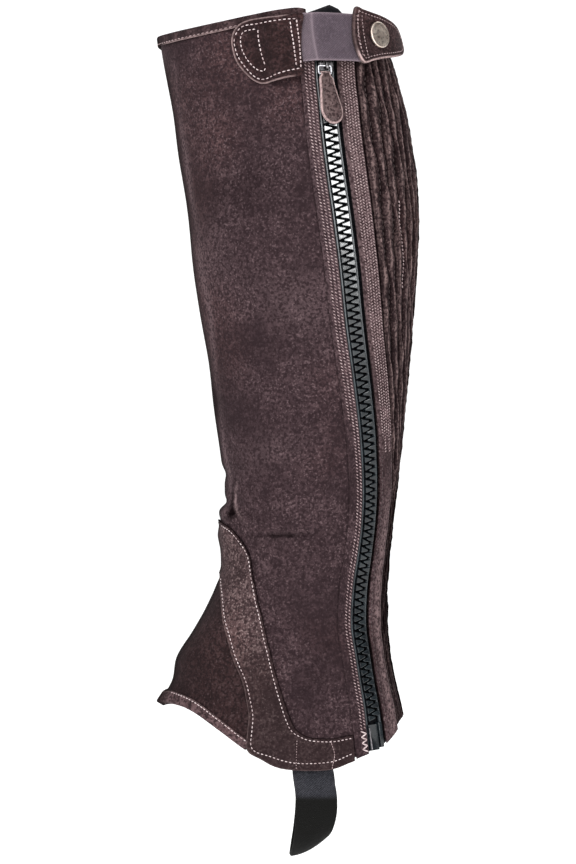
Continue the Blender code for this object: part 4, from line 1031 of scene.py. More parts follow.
@dataclass
class LegPanels:
    """The two leg panels and the wedge over the instep."""

    inside: float = Layer.PANEL_INSIDE.value
    shin_turn: float = -9.0
    zip_edge: float = -5.8
    roof: float = 1.0
    edge_clear: float = 0.6
    rows: int = 270
    seam_points: int = 84
    hem_points: int = 34
    columns: int = 112
    vamp_corner: float = 0.42
    shin_shade: float = 0.74
    shin: Pair = (7.0, 13.0)
    fine_rows: tuple[Pair, ...] = ((-279.0, 7.0), (-262.0, 9.0))
    fine_turn: Pair = (29.0, 9.0)
    ankle: float = -259.0
    ridge_turn: float = 22.0
    bend_turn: float = 28.0
    bend_height: float = -260.5

    def seam_row(self, sign: int, shift: float, count: int) -> Array:
        """Row of places along the seam over the instep, from the shin to the hem on one side.

        Args:
            sign: 1 for the outer side, -1 for the inner side.
            shift: how far the row lies up and back, off the wedge.
            count: number of places.

        Returns:
            The places.
        """
        row = np.array([(sign * place.turn, place.height) for place in VAMP_SEAM], float)
        row = rounded(row, count)
        step = np.gradient(row, axis=0)
        step = step / np.linalg.norm(step, axis=1, keepdims=True)
        return row + shift * sign * np.stack([-step[:, 1], step[:, 0]], -1)

    def stretch_back(self, distance: float, count: int) -> Array:
        """Row of places up the inner side, where the stretch panel ends."""
        low, high = FORM.hem(-120.0), FORM.top(-120.0)
        for _ in range(4):
            low = float(FORM.hem(FORM.stretch_back_turn(low))) + self.roof
            high = float(FORM.top(FORM.stretch_back_turn(high))) - self.roof - self.edge_clear
        heights = np.linspace(low, high, count)
        return line(FORM.walk(FORM.stretch_back_turn(heights), heights, distance), heights)

    def leg_panel(self, name: str, sign: int, back_row: Array) -> None:
        """Outer or inner leg panel, from the seam beside the shin to its back edge."""
        edge_turn = self.shin_turn + sign * 0.5 * GAP
        seam_out, seam_in = (self.seam_row(side, GAP / 2, self.seam_points) for side in (1, -1))
        seam = np.vstack([seam_in[:0:-1], seam_out])
        start = float(np.interp(edge_turn, seam[:, 0], seam[:, 1]))
        if sign > 0:
            bottom = seam[seam[:, 0] > edge_turn + 1.0]
        else:
            bottom = seam[seam[:, 0] < edge_turn - 1.0][::-1]
        turns = np.linspace(bottom[-1, 0], back_row[0, 0], self.hem_points)
        hem = line(turns, FORM.hem(turns) + 0.25 * self.roof)
        bottom = np.vstack([[(edge_turn, start)], bottom[:-1], hem])
        turns = np.linspace(edge_turn, back_row[-1, 0], self.columns)
        top = line(turns, FORM.top(turns) - self.roof - self.edge_clear)
        front = line(edge_turn, np.linspace(start, top[0, 1], self.rows))
        places = patch(bottom, top, front, back_row, 3)
        middle = places[:, places.shape[1] // 2, 1]
        creased = np.any([np.abs(middle - at) < reach for at, reach in self.fine_rows], axis=0)
        places = self._denser(places, creased)
        ankle = places[np.argmin(np.abs(places[:, 0, 1] - self.ankle)), :, 0]
        at, reach = self.fine_turn
        columns = self._denser(places.transpose(1, 0, 2), np.abs(np.abs(ankle) - at) < reach)
        places = columns.transpose(1, 0, 2)
        piece = shell(f"{name}_leather", places, 0.0, self.inside, self._painted_light_and_shade(places))
        dress(piece, Finish.SUEDE, nodes=[name])

    @staticmethod
    def _denser(places: Array, near: Array, parts: int = 3) -> Array:
        """Split the rows of a grid where they are near a crease, so that it is a thin line."""
        rows = np.arange(len(places), dtype=float)
        between = [rows[near][:-1] + k / parts for k in range(1, parts)]
        at = np.sort(np.concatenate([rows, *between]))
        low = np.minimum(at.astype(int), len(places) - 2)
        share = (at - low)[:, None, None]
        return (1 - share) * places[low] + share * places[low + 1]

    def _painted_light_and_shade(self, places: Array) -> dict[str, Array]:
        """Painted shade on the shin fold and creases, painted highlight on the ridge and crease
        tops.
        """
        signed, height = places[..., 0], places[..., 1]
        turn = np.abs(signed)
        leg = ease((-height - 4.0) / 14.0)
        # painted shade along the shin's edge
        valley = self.shin_shade * close_to(turn, *self.shin) * leg
        # painted highlight along a ridge beside the shin
        ridge = self.ridge_turn + 2.5 * wave(height, 150.0, 0.2) + wave(height, 47.0, 0.6)
        crest = (0.42 + 0.2 * wave(height, 83.0, 0.1)) * bell(turn - ridge, 3.6) * leg
        # painted shade where a crease sinks, painted highlight where it rises
        for crease in FINE_CREASES:
            if crease.turn * places[0, -1, 0] > 0:
                across = height - crease.height - crease.slope * (signed - crease.turn)
                share = bell(across, crease.spread) * bell(signed - crease.turn, crease.reach)
                valley = valley + 0.75 * max(-crease.rise, 0.0) * share
                crest = crest + 0.5 * max(crease.rise, 0.0) * share
        # painted highlight along a line that bends round the ankle, with painted shade beside it
        under = self.bend_height - height
        bend = turn - self.bend_turn - np.where(under > 0, 1.5 * under, -0.4 * under)
        near = bell(height + 260.0, 8.0)
        crest = crest + 1.6 * near * bell(bend, 1.6)
        valley = valley + 0.8 * near * bell(bend + 4.5, 2.6)
        # painted shadow under the ankle's bulge
        valley = valley + 1.1 * bell(turn - 31.0, 4.5) * bell(height + 267.5, 3.0)
        # the raw edge's light colour adds to the painted highlight on that line
        raw = 0.20 * near * bell(bend, 1.3)
        return {"crest": np.clip(crest, 0, 1), "valley": np.clip(valley, 0, 1), "raw": raw}

    def vamp(self) -> None:
        """Wedge over the instep, wrapped round the front from seam to seam."""
        outer, inner = (self.seam_row(side, -GAP / 2, 70) for side in (1, -1))
        corner = int(self.vamp_corner * len(outer))
        over = np.vstack([inner[corner:0:-1], outer[:corner + 1]])
        turns = np.linspace(inner[-1, 0], outer[-1, 0], self.columns)
        hem = line(turns, FORM.hem(turns) + self.roof + 2 * self.edge_clear)
        outer[-1, 1], inner[-1, 1] = hem[-1, 1], hem[0, 1]
        places = patch(over, hem, inner[corner:], outer[corner:])
        front = close_to(places[..., 0], 0.0, 75.0)
        # painted shade along the shin's edge, in the valley mark
        marks = {"shade": 0.45 + 0.1 * front,
                 "valley": self.shin_shade * close_to(places[..., 0], *self.shin)}
        piece = shell("vamp_leather", places, 0.0, self.inside, marks)
        dress(piece, Finish.DARK, nodes=["vamp"])

    def build(self) -> None:
        """Make the panels that lie smooth."""
        clear = self.roof + self.edge_clear
        outer_back = FORM.beside_zip(self.zip_edge, self.roof, clear, self.rows)
        self.leg_panel("outer_panel", 1, outer_back)
        inner_back = self.stretch_back(GAP, self.rows) - (360.0, 0.0)
        self.leg_panel("inner_panel", -1, inner_back)
        self.vamp()


@dataclass
class StretchPanel:
    """Leather gathered in ribs over elastic round the back of the calf."""

    panels: LegPanels
    front_edge: float = 8.0
    rib_start: float = 18.6
    ribs: int = 16
    steps: int = 16
    rows: int = 150
    crest: float = 0.95
    valley: float = -0.85
    free_top: float = 9.0
    fade_top: float = 8.0
    fade_hem: float = 60.0
    hem_share: float = 0.25
    wander: float = 0.75
    pucker: float = 0.30
    pleat_rise: float = 0.30
    band_shadow: float = 0.95
    light_part: tuple[int, float, float] = (3, -142.0, -88.0)

    def _between(self, start: Array, end: Array, count: int) -> Array:
        """Places between two rows that run up the leg."""
        low_turns = np.linspace(start[0, 0], end[0, 0], count)
        high_turns = np.linspace(start[-1, 0], end[-1, 0], count)
        clear = self.panels.roof
        low = line(low_turns, FORM.hem(low_turns) + clear)
        high = line(high_turns, FORM.top(high_turns) - clear - self.panels.edge_clear)
        return patch(low, high, start, end)

    def _places(self) -> tuple[Array, Array]:
        """Places of the flat front part and of the ribs, before the ribs wander."""
        roof, clear = self.panels.roof, self.panels.edge_clear
        front, first = (FORM.beside_zip(edge, roof, roof + clear, self.rows)
                        for edge in (self.front_edge, self.rib_start))
        back = self.panels.stretch_back(0.0, self.rows)
        columns = self.ribs * self.steps + 1
        return self._between(front, first, 7), self._between(first, back, columns)

    def _fade(self, places: Array) -> Array:
        """How much of the ribs' height stays, near the top edge and the hem."""
        from_top = FORM.top(places[..., 0]) - places[..., 1]
        from_hem = places[..., 1] - FORM.hem(places[..., 0])
        fade = ease((from_top - self.free_top) / self.fade_top)
        return fade * (self.hem_share + (1 - self.hem_share) * ease(from_hem / self.fade_hem))

    def _wander(self, places: Array, rib: Array) -> Array:
        """Shift of a rib's lines round the leg, in degrees."""
        height = places[..., 1]
        shift = wave(height, 67.0, 0.37 * rib) + 0.7 * wave(height, 31.0, 0.71 * rib)
        shift += 0.35 * wave(height, 17.0, 0.23 * rib)
        inside = np.minimum(rib, self.ribs - rib)
        return self.wander * shift * self._fade(places) * ease(inside / 0.8)

    def valleys(self) -> list[Array]:
        """Rows of places along the bottoms of the valleys."""
        _, ribs = self._places()
        rows = [ribs[:, k * self.steps].copy() for k in range(1, self.ribs)]
        for k, row in enumerate(rows, start=1):
            row[:, 0] += self._wander(row, np.full(len(row), float(k)))
        return rows

    def build(self) -> None:
        """Make the panel."""
        flat, ribs = self._places()
        rib = np.arange(ribs.shape[1])[None, :] / self.steps + 0 * ribs[..., 0]
        number = np.minimum(np.floor(rib), self.ribs - 1)
        phase = rib - number
        fade = self._fade(ribs)
        round_top = np.sin(np.pi * np.clip(phase, 0, 1)) ** 0.75
        height = ribs[..., 1]
        lumps = wave(height, 13.0, 0.61 * number) * wave(height, 7.7, 0.29 * number)
        lumps += 0.6 * wave(height, 23.0, 0.43 * number)
        size = 1.0 + 0.18 * np.sin(2.4 * number + 0.8)
        out = self.valley + (self.crest * size - self.valley) * round_top
        out = (out + self.pucker * lumps * round_top) * fade
        out[:, 0] = out[:, -1] = 0.0
        ribs[..., 0] += self._wander(ribs, rib)
        places = np.concatenate([flat[:, :-1], ribs], 1)
        columns = flat.shape[1] - 1
        blank = np.zeros((len(flat), columns))
        outer = np.concatenate([blank, out], 1)
        aside = 0.30 * np.where(number % 2 > 0, 1, -1) + 0.05 * wave(height, 41.0, 0.3 * number)
        pleat = bell(phase - 0.5 - aside, 0.055) * (0.6 + 0.4 * wave(height, 58.0, 0.19 * number))
        outer[:, columns:] += self.pleat_rise * pleat * fade
        # painted highlight along the rib crests and the pleats
        line_light = round_top ** 24 * (0.80 + 0.6 * lumps) + 0.55 * pleat
        crest = np.concatenate([blank, line_light * fade], 1)
        # painted shade in the valleys between ribs
        valley = np.concatenate([blank, (1 - round_top) ** 0.9 * fade], 1)
        # painted shadow along the back band's edge, over the seam where the ribs start
        valley[:, columns - 2:columns + 3] = self.band_shadow
        # painted shade along the back, at the edge of the outline
        valley = valley + 0.7 * close_to(places[..., 0] - 180.0, 5.0, 6.0)
        # darker, with less painted highlight, towards the ankle
        depth = -places[..., 1]
        ankle = ease((depth - 232.0) / 40.0) * (1 - 0.3 * ease((depth - 330.0) / 40.0))
        valley, crest = valley + 0.65 * ankle, crest * (1 - 0.6 * ankle)
        marks = {"crest": np.clip(crest, 0, 1), "valley": np.clip(valley, 0, 1)}
        inside = np.full(outer.shape, self.panels.inside)
        piece = shell("stretch_panel_leather", places, outer, inside, marks)
        dress(piece, Finish.RIBS, nodes=["stretch_panel"])

    def sew(self) -> None:
        """Sew the valleys, a short part of one in a lighter thread."""
        dark = Stitching("rib_stitching", Finish.DARK_THREAD, 0.5)
        light = Stitching("rib_stitching_bright", Finish.THREAD, 0.85)
        light_rib, low, high = self.light_part
        for k, row in enumerate(self.valleys(), start=1):
            depth = self.valley * self._fade(row) + 0.12
            if k == light_rib:
                part = (row[:, 1] > low) & (row[:, 1] < high)
                light.row(row[part], depth[part] + 0.7, pitch=2.1, share=0.55, slant=0.2)
            dark.row(row[6:-10], depth[6:-10], pitch=3.3, share=0.62)
        dark.build()
        light.build()


@dataclass
class Bindings:
    """Folded leather edges: round the top, and over the toe hem."""

    clear: float = Layer.BINDING.value
    leather: float = 1.0
    drop: float = 5.5
    roof: float = 1.0
    round_over: float = 0.9
    panel: float = 2.0
    tape_edges: Pair = (-12.0, 13.5)
    top_at_zip: float = 15.0
    vamp_turn: float = 71.0
    toe_stitch_turns: Pair = (20.0, 70.8)
    tape_clear: float = 0.6

    def _section(self, turn: float, height: float, up: int) -> tuple[Array, Array]:
        """Points of the outer and of the inner line of the folded leather's section."""
        outer, inner = self.clear + self.leather, -self.panel - self.clear - self.leather
        r = self.round_over
        bend = np.radians(np.linspace(0, 90, 5))
        shape = [(outer, drop) for drop in np.linspace(self.drop, r, 6)]
        shape += [(outer - r + r * math.cos(a), r - r * math.sin(a)) for a in bend[1:]]
        shape += [(inner + r - r * math.sin(a), r - r * math.cos(a)) for a in bend]
        shape += [(inner, drop) for drop in np.linspace(r, self.drop, 6)[1:]]
        places = np.array([(turn, height - up * down) for _, down in shape])
        outs = np.array([out for out, _ in shape])
        inner_places = places.copy()
        inner_places[:, 1] = [height - up * max(down, self.roof) for _, down in shape]
        inner_outs = np.clip(outs, inner + self.leather, self.clear)
        return FORM.skin(places, outs), FORM.skin(inner_places, inner_outs)

    def _fold(self, name: str, turns: Array, edge: Callable, up: int) -> None:
        """Make one folded edge."""
        sections = [self._section(float(turn), float(edge(turn)), up) for turn in turns]
        outer, inner = (np.stack(side) for side in zip(*sections))
        at_top = up > 0
        crest, raw = np.zeros(outer.shape[:2]), np.zeros(outer.shape[:2])
        # painted highlight along the fold's outer face and rounded edge
        crest[:, 1:12] = (0.1 if at_top else 0.4) + 0.2 * wave(turns, 11.0, 0.2)[:, None]
        away = 1 - close_to(np.mod(turns + 180, 360) - 180, 12.0, 16.0)
        raw[:, [0, -1]] = (0.55 * away if at_top else 0.15 + 0 * away)[:, None]
        # painted shade at the front, along the shin's edge
        corner = 0.85 * close_to(turns, 9.0, 12.0)[:, None]
        marks = {"crest": np.clip(crest, 0, 1), "raw": raw, "valley": corner + 0 * crest,
                 "shade": (0.6 if at_top else 0.0) + 0 * crest}
        piece = solid_from_grids(f"{name}_leather", outer, inner, marks, 0.3)
        dress(piece, Finish.EDGE, nodes=[name])

    def top_turns(self) -> Pair:
        """Turns at which the top edge's fold starts and ends, on both sides of the zip."""
        low, high = self.top_at_zip - self.drop - 1.0, self.top_at_zip
        first, last = self.tape_edges[0] - self.tape_clear, self.tape_edges[1] + self.tape_clear
        start = float(FORM.walk(FORM.zip_turn(low), low, first))
        return start, float(FORM.walk(FORM.zip_turn(high), high, last)) - 360.0

    def build(self) -> None:
        """Make both folded edges and sew them."""
        start, end = self.top_turns()
        self._fold("top_binding", np.linspace(start, end, 170), FORM.top, 1)
        vamp_turns = np.linspace(-self.vamp_turn, self.vamp_turn, 110)
        self._fold("vamp_binding", vamp_turns, FORM.hem, -1)
        thread = Stitching("binding_stitching", Finish.THREAD, 0.5)
        toe = Stitching("toe_stitching", Finish.BRIGHT_THREAD, 0.55)
        face = self.clear + self.leather
        turns = np.linspace(start - 1, end + 1, 400)
        thread.row(line(turns, FORM.top(turns) - self.drop + 1.0), face, pitch=2.9, share=0.6)
        near, far = self.toe_stitch_turns
        for turns in (np.linspace(-far, -near, 120), np.linspace(near, far, 120)):
            toe.row(line(turns, FORM.hem(turns) + self.drop - 0.8), face, pitch=2.3, share=0.6)
        thread.build()
        toe.build()


@dataclass
class AnkleStrip:
    """Inverted V over the shin and the wedge's seam, turned back along the hem."""

    clear: float = Layer.ANKLE_STRIP.value
    leather: float = 1.0
    points: int = 330
    across: int = 26
    inset: float = 1.9
    hem_inset: float = 2.6
    dark_turn: float = 18.0
    box_heights: Pair = (-410.0, -393.5)
    box_lines: tuple[tuple[float, float, float], ...] = ((89.0, 0.0, 0.35), (107.5, 1.6, 0.8))

    def edges(self) -> tuple[Array, Array]:
        """Smooth front and back edge rows, point beside point."""
        rows = np.array(ANKLE_STRIP, float)
        both = np.vstack([rows[:0:-1] * (-1, 1, -1, 1), rows])
        both = threaded(both, self.points)
        return both[:, 2:], both[:, :2]

    def build(self) -> None:
        """Make the strip and sew both its edges."""
        front, back = self.edges()
        across = np.linspace(0, 1, self.across)[:, None, None]
        places = front + (back - front) * across
        lift = self.clear + self.leather + 0.10 * wave(across[..., 0], 1.6, 0.0)
        # painted shade along the shin's edge, painted shadow along the back edge and, fainter, the
        # front edge
        dark = 0.70 * close_to(places[..., 0], 7.0, 12.0)
        dark[-1] = 1.0
        dark[-2] = np.maximum(dark[-2], 0.35)
        dark[0] = 0.5
        lower = ease((-places[..., 1] - 330.0) / 40.0)
        marks = {"raw": border_mark(places, LOW_EDGE, amount=0.15),
                 "valley": np.maximum(dark, 0.20 * lower), "shade": 0.85 * lower}
        piece = shell("ankle_strip_leather", places, lift, self.clear, marks, 0.3)
        dress(piece, Finish.TRIM, nodes=["ankle_strip"])
        thread = Stitching("ankle_strip_stitching", Finish.BRIGHT_THREAD, 0.55)
        dark_thread = Stitching("ankle_strip_shin_stitching", Finish.DARK_THREAD, 0.5)
        gap = np.linalg.norm((back - front) * (0.95, 1.0), axis=1)[:, None]
        face = self.clear + self.leather + 0.1
        on_hem = ease((np.abs(front[:, :1]) - 70.5) / 13.0)
        for row in (front + (back - front) * (self.inset + self.hem_inset * on_hem) / gap,
                    back + (front - back) * self.inset / gap):
            row = row[3:-3]
            for part in (row[row[:, 0] < -self.dark_turn], row[row[:, 0] > self.dark_turn]):
                thread.row(part, face, pitch=2.35, share=0.52)
            # dark thread where the stitches cross the painted shade along the shin: a shaded copy
            # of the bright thread
            middle = row[np.abs(row[:, 0]) < self.dark_turn]
            dark_thread.row(middle, face, pitch=2.35, share=0.52)
        box = Stitching("strap_box_stitching", Finish.THREAD, 0.45)
        self._strap_box(box, face)
        for stitching in (box, thread, dark_thread):
            stitching.build()

    def _strap_box(self, thread: Stitching, face: float) -> None:
        """Box of stitches that holds the boot strap, and its like on the inner side."""
        low, high = self.box_heights
        heights = np.linspace(low, high, 20)
        swell = np.cos(np.pi * (heights - low) / (high - low)) ** 2
        for sign in (1, -1):
            for turn, bend, share in self.box_lines:
                row = line(sign * (turn - bend * swell), heights)
                thread.row(row, face, pitch=1.5, share=share)


class Bench:
    """Modelling by hand with Blender's operators, in millimetres."""

    @staticmethod
    def clear() -> None:
        """Leave edit mode and deselect everything."""
        Bench.leave_edit_mode()
        bpy.ops.object.select_all(action="DESELECT")

    @staticmethod
    def leave_edit_mode() -> None:
        """Go back to object mode."""
        if bpy.context.object and bpy.context.object.mode != "OBJECT":
            bpy.ops.object.mode_set(mode="OBJECT")

    @staticmethod
    def block(name: str, low: tuple[float, float, float],
              high: tuple[float, float, float]) -> Piece:
        """Box between two corners, its scale applied."""
        Bench.clear()
        bpy.ops.mesh.primitive_cube_add(size=1.0)
        piece = bpy.context.object
        piece.name = name
        piece.location = [0.5 * (a + b) for a, b in zip(low, high)]
        piece.scale = [b - a for a, b in zip(low, high)]
        bpy.ops.object.transform_apply(location=True, rotation=False, scale=True)
        return piece

    @staticmethod
    def disc(name: str, radius: float, low: float, high: float, sides: int) -> Piece:
        """Upright cylinder."""
        Bench.clear()
        bpy.ops.mesh.primitive_cylinder_add(vertices=sides, radius=radius, depth=high - low,
                                            location=(0, 0, 0.5 * (low + high)))
        piece = bpy.context.object
        piece.name = name
        bpy.ops.object.transform_apply(location=True, rotation=False, scale=False)
        return piece

    @staticmethod
    def choose(piece: Piece, test: Callable[[bpy.types.MeshPolygon], bool]) -> None:
        """Select the faces that pass a test, and go to edit mode."""
        Bench.leave_edit_mode()
        for part in (*piece.data.vertices, *piece.data.edges):
            part.select = False
        for face in piece.data.polygons:
            face.select = bool(test(face))
        bpy.ops.object.mode_set(mode="EDIT")
        bpy.ops.mesh.select_mode(type="FACE")

    @staticmethod
    def taper(piece: Piece, axis: int, side: int, scale: tuple[float, float, float],
              centre: tuple[float, float, float]) -> None:
        """Resize the face on one side of a block about a centre."""
        Bench.choose(piece, lambda face: side * face.normal[axis] > 0.9)
        bpy.ops.transform.resize(value=scale, center_override=centre)
        Bench.leave_edit_mode()

    @staticmethod
    def raise_steps(steps: Sequence[Pair]) -> None:
        """Inset the chosen face and move the new one up or down, step by step."""
        for inset, rise in steps:
            bpy.ops.mesh.inset(thickness=inset)
            bpy.ops.transform.translate(value=(0, 0, rise))
        Bench.leave_edit_mode()

    @staticmethod
    def bevel(piece: Piece, width: float, segments: int = 2, angle: float = 30.0) -> None:
        """Round the sharp edges with a bevel that is applied."""
        Bench.modify(piece, "BEVEL", width=width, segments=segments, limit_method="ANGLE",
                     angle_limit=math.radians(angle))

    @staticmethod
    def modify(piece: Piece, kind: str, **settings: object) -> None:
        """Apply a modifier with its settings."""
        modifier = piece.modifiers.new(kind, kind)
        for key, value in settings.items():
            setattr(modifier, key, value)
        bpy.context.view_layer.objects.active = piece
        bpy.ops.object.modifier_apply(modifier=modifier.name)

    @staticmethod
    def combine(piece: Piece, other: Piece, operation: str) -> None:
        """Unite a piece with another's form, or cut that form out of it."""
        Bench.clear()
        piece.select_set(True)
        Bench.modify(piece, "BOOLEAN", operation=operation, object=other)
        bpy.data.objects.remove(other)

    @staticmethod
    def take(form: Piece) -> tuple[Array, list[tuple[int, ...]]]:
        """Points and faces of a form, which is then removed."""
        points = np.array([vertex.co for vertex in form.data.vertices])
        faces = [tuple(face.vertices) for face in form.data.polygons]
        bpy.data.objects.remove(form)
        return points, faces

    @staticmethod
    def place(piece: Piece, matrix: Matrix) -> Piece:
        """Bring a piece to its seat and to metres, with its object at the origin."""
        Bench.clear()
        piece.data.transform(Matrix.Scale(MM, 4) @ matrix)
        piece.data.shade_smooth()
        piece.data.set_sharp_from_angle(angle=math.radians(38))
        piece.data.update()
        return piece


@dataclass
class ZipFastener:
    """Side zip: leather strips, tape, teeth, tape cords, end box, slider and pull."""

    front_strip: Pair = (-14.0, -6.0)
    back_band: Pair = (7.0, 18.0)
    strip_leather: float = 1.0
    strip_rows: int = 230
    tape: Pair = (-12.0, 13.5)
    tape_face: float = -2.35
    tape_cloth: float = 0.9
    tape_low: tuple[float, ...] = (-403.0, -401.5, -400.0, -397.5, -394.5)
    tape_high: tuple[float, ...] = (14.5, 17.0, 19.6, 17.6, 13.0)
    tape_columns: int = 17
    front_rows: tuple[Pair, ...] = ((-11.3, -215.0), (-9.2, -500.0), (-7.1, -500.0))
    back_rows: tuple[float, ...] = (9.9, 11.7, 13.5, 15.3, 17.0)
    band_edges: Pair = (8.4, 16.9)
    sewing: tuple[float, int] = (8.0, 420)
    tooth_pitch: float = 4.3
    tooth_rise: float = 1.5
    box_height: float = 16.0
    chain_top: float = 11.0
    cord_at: float = 4.75
    cord_radius: float = 0.75
    slider_height: float = -16.9
    pull_out: float = 4.4
    pull_aside: float = -1.3
    pull_lean: float = math.radians(8.5)
    pull_thickness: float = 2.6
    bail_wire: float = 0.55
    bail_half_width: float = 3.7
    bail_drop: float = 4.5
    bail_corner: float = 1.0
    outline_points: int = 96

    @staticmethod
    def _hem() -> float:
        """Height of the hem at the zip."""
        return float(FORM.hem(FORM.zip_turn(-400.0)))

    @staticmethod
    def _gloss_shade(heights: Array) -> Array:
        """Painted shade that cuts the plastic's gloss: none at the top, full from the calf down."""
        return ease((-heights - 100.0) / 120.0)

    def _strip(self, name: str, edges: Pair, finish: Finish) -> None:
        """Long narrow leather piece beside the zip."""
        first, last = (FORM.beside_zip(edge, 0.0, 5.5 + GAP, self.strip_rows) for edge in edges)
        across = np.linspace(0, 1, 9)[None, :, None]
        places = first[:, None] + (last - first)[:, None] * across
        height = places[..., 1]
        puffs = 0.10 * wave(height, 5.3, 0.1) * np.sin(np.pi * across[..., 0])
        puffs += 0.10 * wave(height, 17.0, 0.4)
        top = Layer.ZIP_STRIP.value + self.strip_leather + puffs
        # lighter towards the top
        nap_lift = 0.25 * (1 - ease((-height - 120.0) / 160.0))
        if finish is Finish.BAND:
            # painted highlight along a ridge down the band's foot
            foot = ease((-height - 235.0) / 60.0) * (0.75 + 0.25 * wave(height, 9.0, 0.2))
            nap_lift = nap_lift + foot * bell(across[..., 0] - 0.62, 0.24)
        marks = {"raw": border_mark(places, LAST_COLUMN, amount=0.10),
                 "crest": np.clip(nap_lift, 0, 1)}
        piece = shell(f"{name}_leather", places, top, Layer.ZIP_STRIP.value, marks, 0.3)
        dress(piece, finish, nodes=[name])

    def _strip_sewing(self) -> None:
        """Rows of stitches down both strips, and a zigzag at the front one's hem."""
        thread = Stitching("zip_strip_stitching", Finish.THREAD, 0.62)
        dark = Stitching("zip_band_stitching", Finish.DARK_THREAD, 0.5)
        bright = Stitching("zip_hem_stitching", Finish.BRIGHT_THREAD, 0.85)
        face = Layer.ZIP_STRIP.value + self.strip_leather + 0.05
        for distance, lowest in self.front_rows:
            row = FORM.beside_zip(distance, 14.0, *self.sewing)
            thread.row(row[row[:, 1] > lowest], face, pitch=1.85, share=0.46, slant=0.5)
        for k, distance in enumerate(self.back_rows):
            row = FORM.beside_zip(distance, 2.5, *self.sewing)
            upper = row[row[:, 1] > -224 - 9 * (k % 2)]
            thread.row(upper, face, pitch=1.7, share=0.42, slant=0.40 * (-1) ** k)
        for distance in self.band_edges:
            row = FORM.beside_zip(distance, 2.5, *self.sewing)
            dark.row(row[row[:, 1] < -232], face, pitch=2.3, share=0.5)
        row = FORM.beside_zip(-8.1, 1.2, *self.sewing)
        low_end = row[row[:, 1] < row[0, 1] + 14.0]
        bright.zigzag(low_end, face, step=1.7, swing=1.9, share=0.9)
        for stitching in (thread, dark, bright):
            stitching.build()

    def _tape(self) -> None:
        """Woven tape behind the teeth."""
        rows, columns = 190, self.tape_columns
        across = np.linspace(0, 1, columns)
        low, high = (np.interp(across, np.linspace(0, 1, len(ends)), ends)
                     for ends in (self.tape_low, self.tape_high))
        heights = low + (high - low) * np.linspace(0, 1, rows)[:, None]
        places = np.stack([
            line(FORM.walk(FORM.zip_turn(heights[:, k]), heights[:, k], distance), heights[:, k])
            for k, distance in enumerate(np.linspace(*self.tape, columns))
        ], 1)
        raw = border_mark(places, LOW_EDGE, HIGH_EDGE)
        inside = self.tape_face - self.tape_cloth
        piece = shell("zip_tape_cloth", places, self.tape_face, inside, {"raw": raw}, 0.25)
        dress(piece, Finish.TAPE, nodes=["zip_tape"])

    def _tooth(self) -> Piece:
        """One moulded tooth, wide at the tape and narrow where it locks with its neighbours."""
        low, high = -0.9, 3.9
        tooth = Bench.block("zip_tooth", (low, -1.0, -1.9), (high, 1.0, self.tooth_rise))
        Bench.taper(tooth, 0, 1, (1.0, 1.72, 1.0), (high, 0, 0))
        Bench.taper(tooth, 0, -1, (1.0, 0.42, 0.9), (low, 0, -0.2))
        Bench.bevel(tooth, 0.34)
        return tooth

    def _teeth(self) -> None:
        """Both rows of teeth, locked together."""
        points, faces = Bench.take(self._tooth())
        low = self._hem() + self.box_height + 2.0
        heights = np.arange(low, self.chain_top, 0.5 * self.tooth_pitch)
        teeth = []
        for k, height in enumerate(heights):
            matrix = np.array(FORM.zip_frame(height))
            side = 1.0 if k % 2 else -1.0
            turned = points * (side, side, 1.0)
            teeth.append(turned @ matrix[:3, :3].T + matrix[:3, 3])
        faces = copied_faces(faces, len(teeth), len(points))
        piece = new_mesh("zip_teeth", np.concatenate(teeth), faces)
        piece.data.set_sharp_from_angle(angle=math.radians(20))
        # painted shade: gloss cut on the lower teeth
        paint(piece, "gloss_shade", np.repeat(self._gloss_shade(heights), len(points)))
        dress(piece, Finish.TEETH, nodes=["zip_chain"])

    def _tape_cords(self) -> None:
        """Raised cord along each side of the teeth, in which they are moulded."""
        heights = np.linspace(self._hem() + 3.0, self.chain_top + 1.0, 260)
        middle = FORM.zip_turn(heights)
        normals = FORM.axes(middle, heights)[1]
        bend = np.radians(np.linspace(0, 180, 7))
        for name, side in (("front", -1), ("back", 1)):
            rows = []
            for angle in bend:
                at = side * self.cord_at + self.cord_radius * math.cos(angle)
                out = -0.55 + 1.1 * math.sin(angle)
                rows.append(FORM.skin(line(FORM.walk(middle, heights, at), heights), out))
            top = np.stack(rows, 1)
            low_face = top - normals[:, None] * (0.4 + 1.1 * np.sin(bend))[None, :, None]
            # painted shade: gloss cut on the lower cords
            marks = {"gloss_shade": self._gloss_shade(heights)[:, None] + 0 * top[..., 0]}
            piece = solid_from_grids(f"zip_cord_{name}", top, low_face, marks, 0.2)
            dress(piece, Finish.CORD)

    def _end_box(self) -> None:
        """Moulded box that closes the zip at the hem, with its insertion pin beside it."""
        half = 0.5 * self.box_height
        matrix = FORM.zip_frame(self._hem() + half)
        box = Bench.block("zip_end_box", (-5.1, -half, -2.0), (0.9, half - 1.5, 2.0))
        Bench.choose(box, lambda face: face.normal.z > 0.9)
        Bench.raise_steps([(0.8, -0.45)])
        Bench.bevel(box, 0.35)
        pin = Bench.block("zip_pin", (1.6, -half + 0.8, -2.0), (5.6, half - 0.5, 1.6))
        Bench.taper(pin, 2, 1, (0.55, 0.96, 1.0), (3.4, 0, 1.6))
        Bench.bevel(pin, 0.4)
        Bench.clear()
        box.select_set(True)
        pin.select_set(True)
        bpy.context.view_layer.objects.active = box
        bpy.ops.object.join()
        # painted shade: the end box's gloss fully cut
        paint(box, "gloss_shade", np.ones(len(box.data.vertices)))
        dress(Bench.place(box, matrix), Finish.TEETH, nodes=["zip_box"])
        # a light rod put along the black box's edge where it glints: a painted highlight
        rod = Bench.block("zip_box_glint_rod", (-5.0, -half + 0.6, 1.2), (-4.2, half - 3.2, 2.5))
        Bench.taper(rod, 1, 1, (0.7, 1.0, 0.8), (-4.6, half - 3.2, 1.8))
        Bench.bevel(rod, 0.25)
        dress(Bench.place(rod, matrix), Finish.PIN)

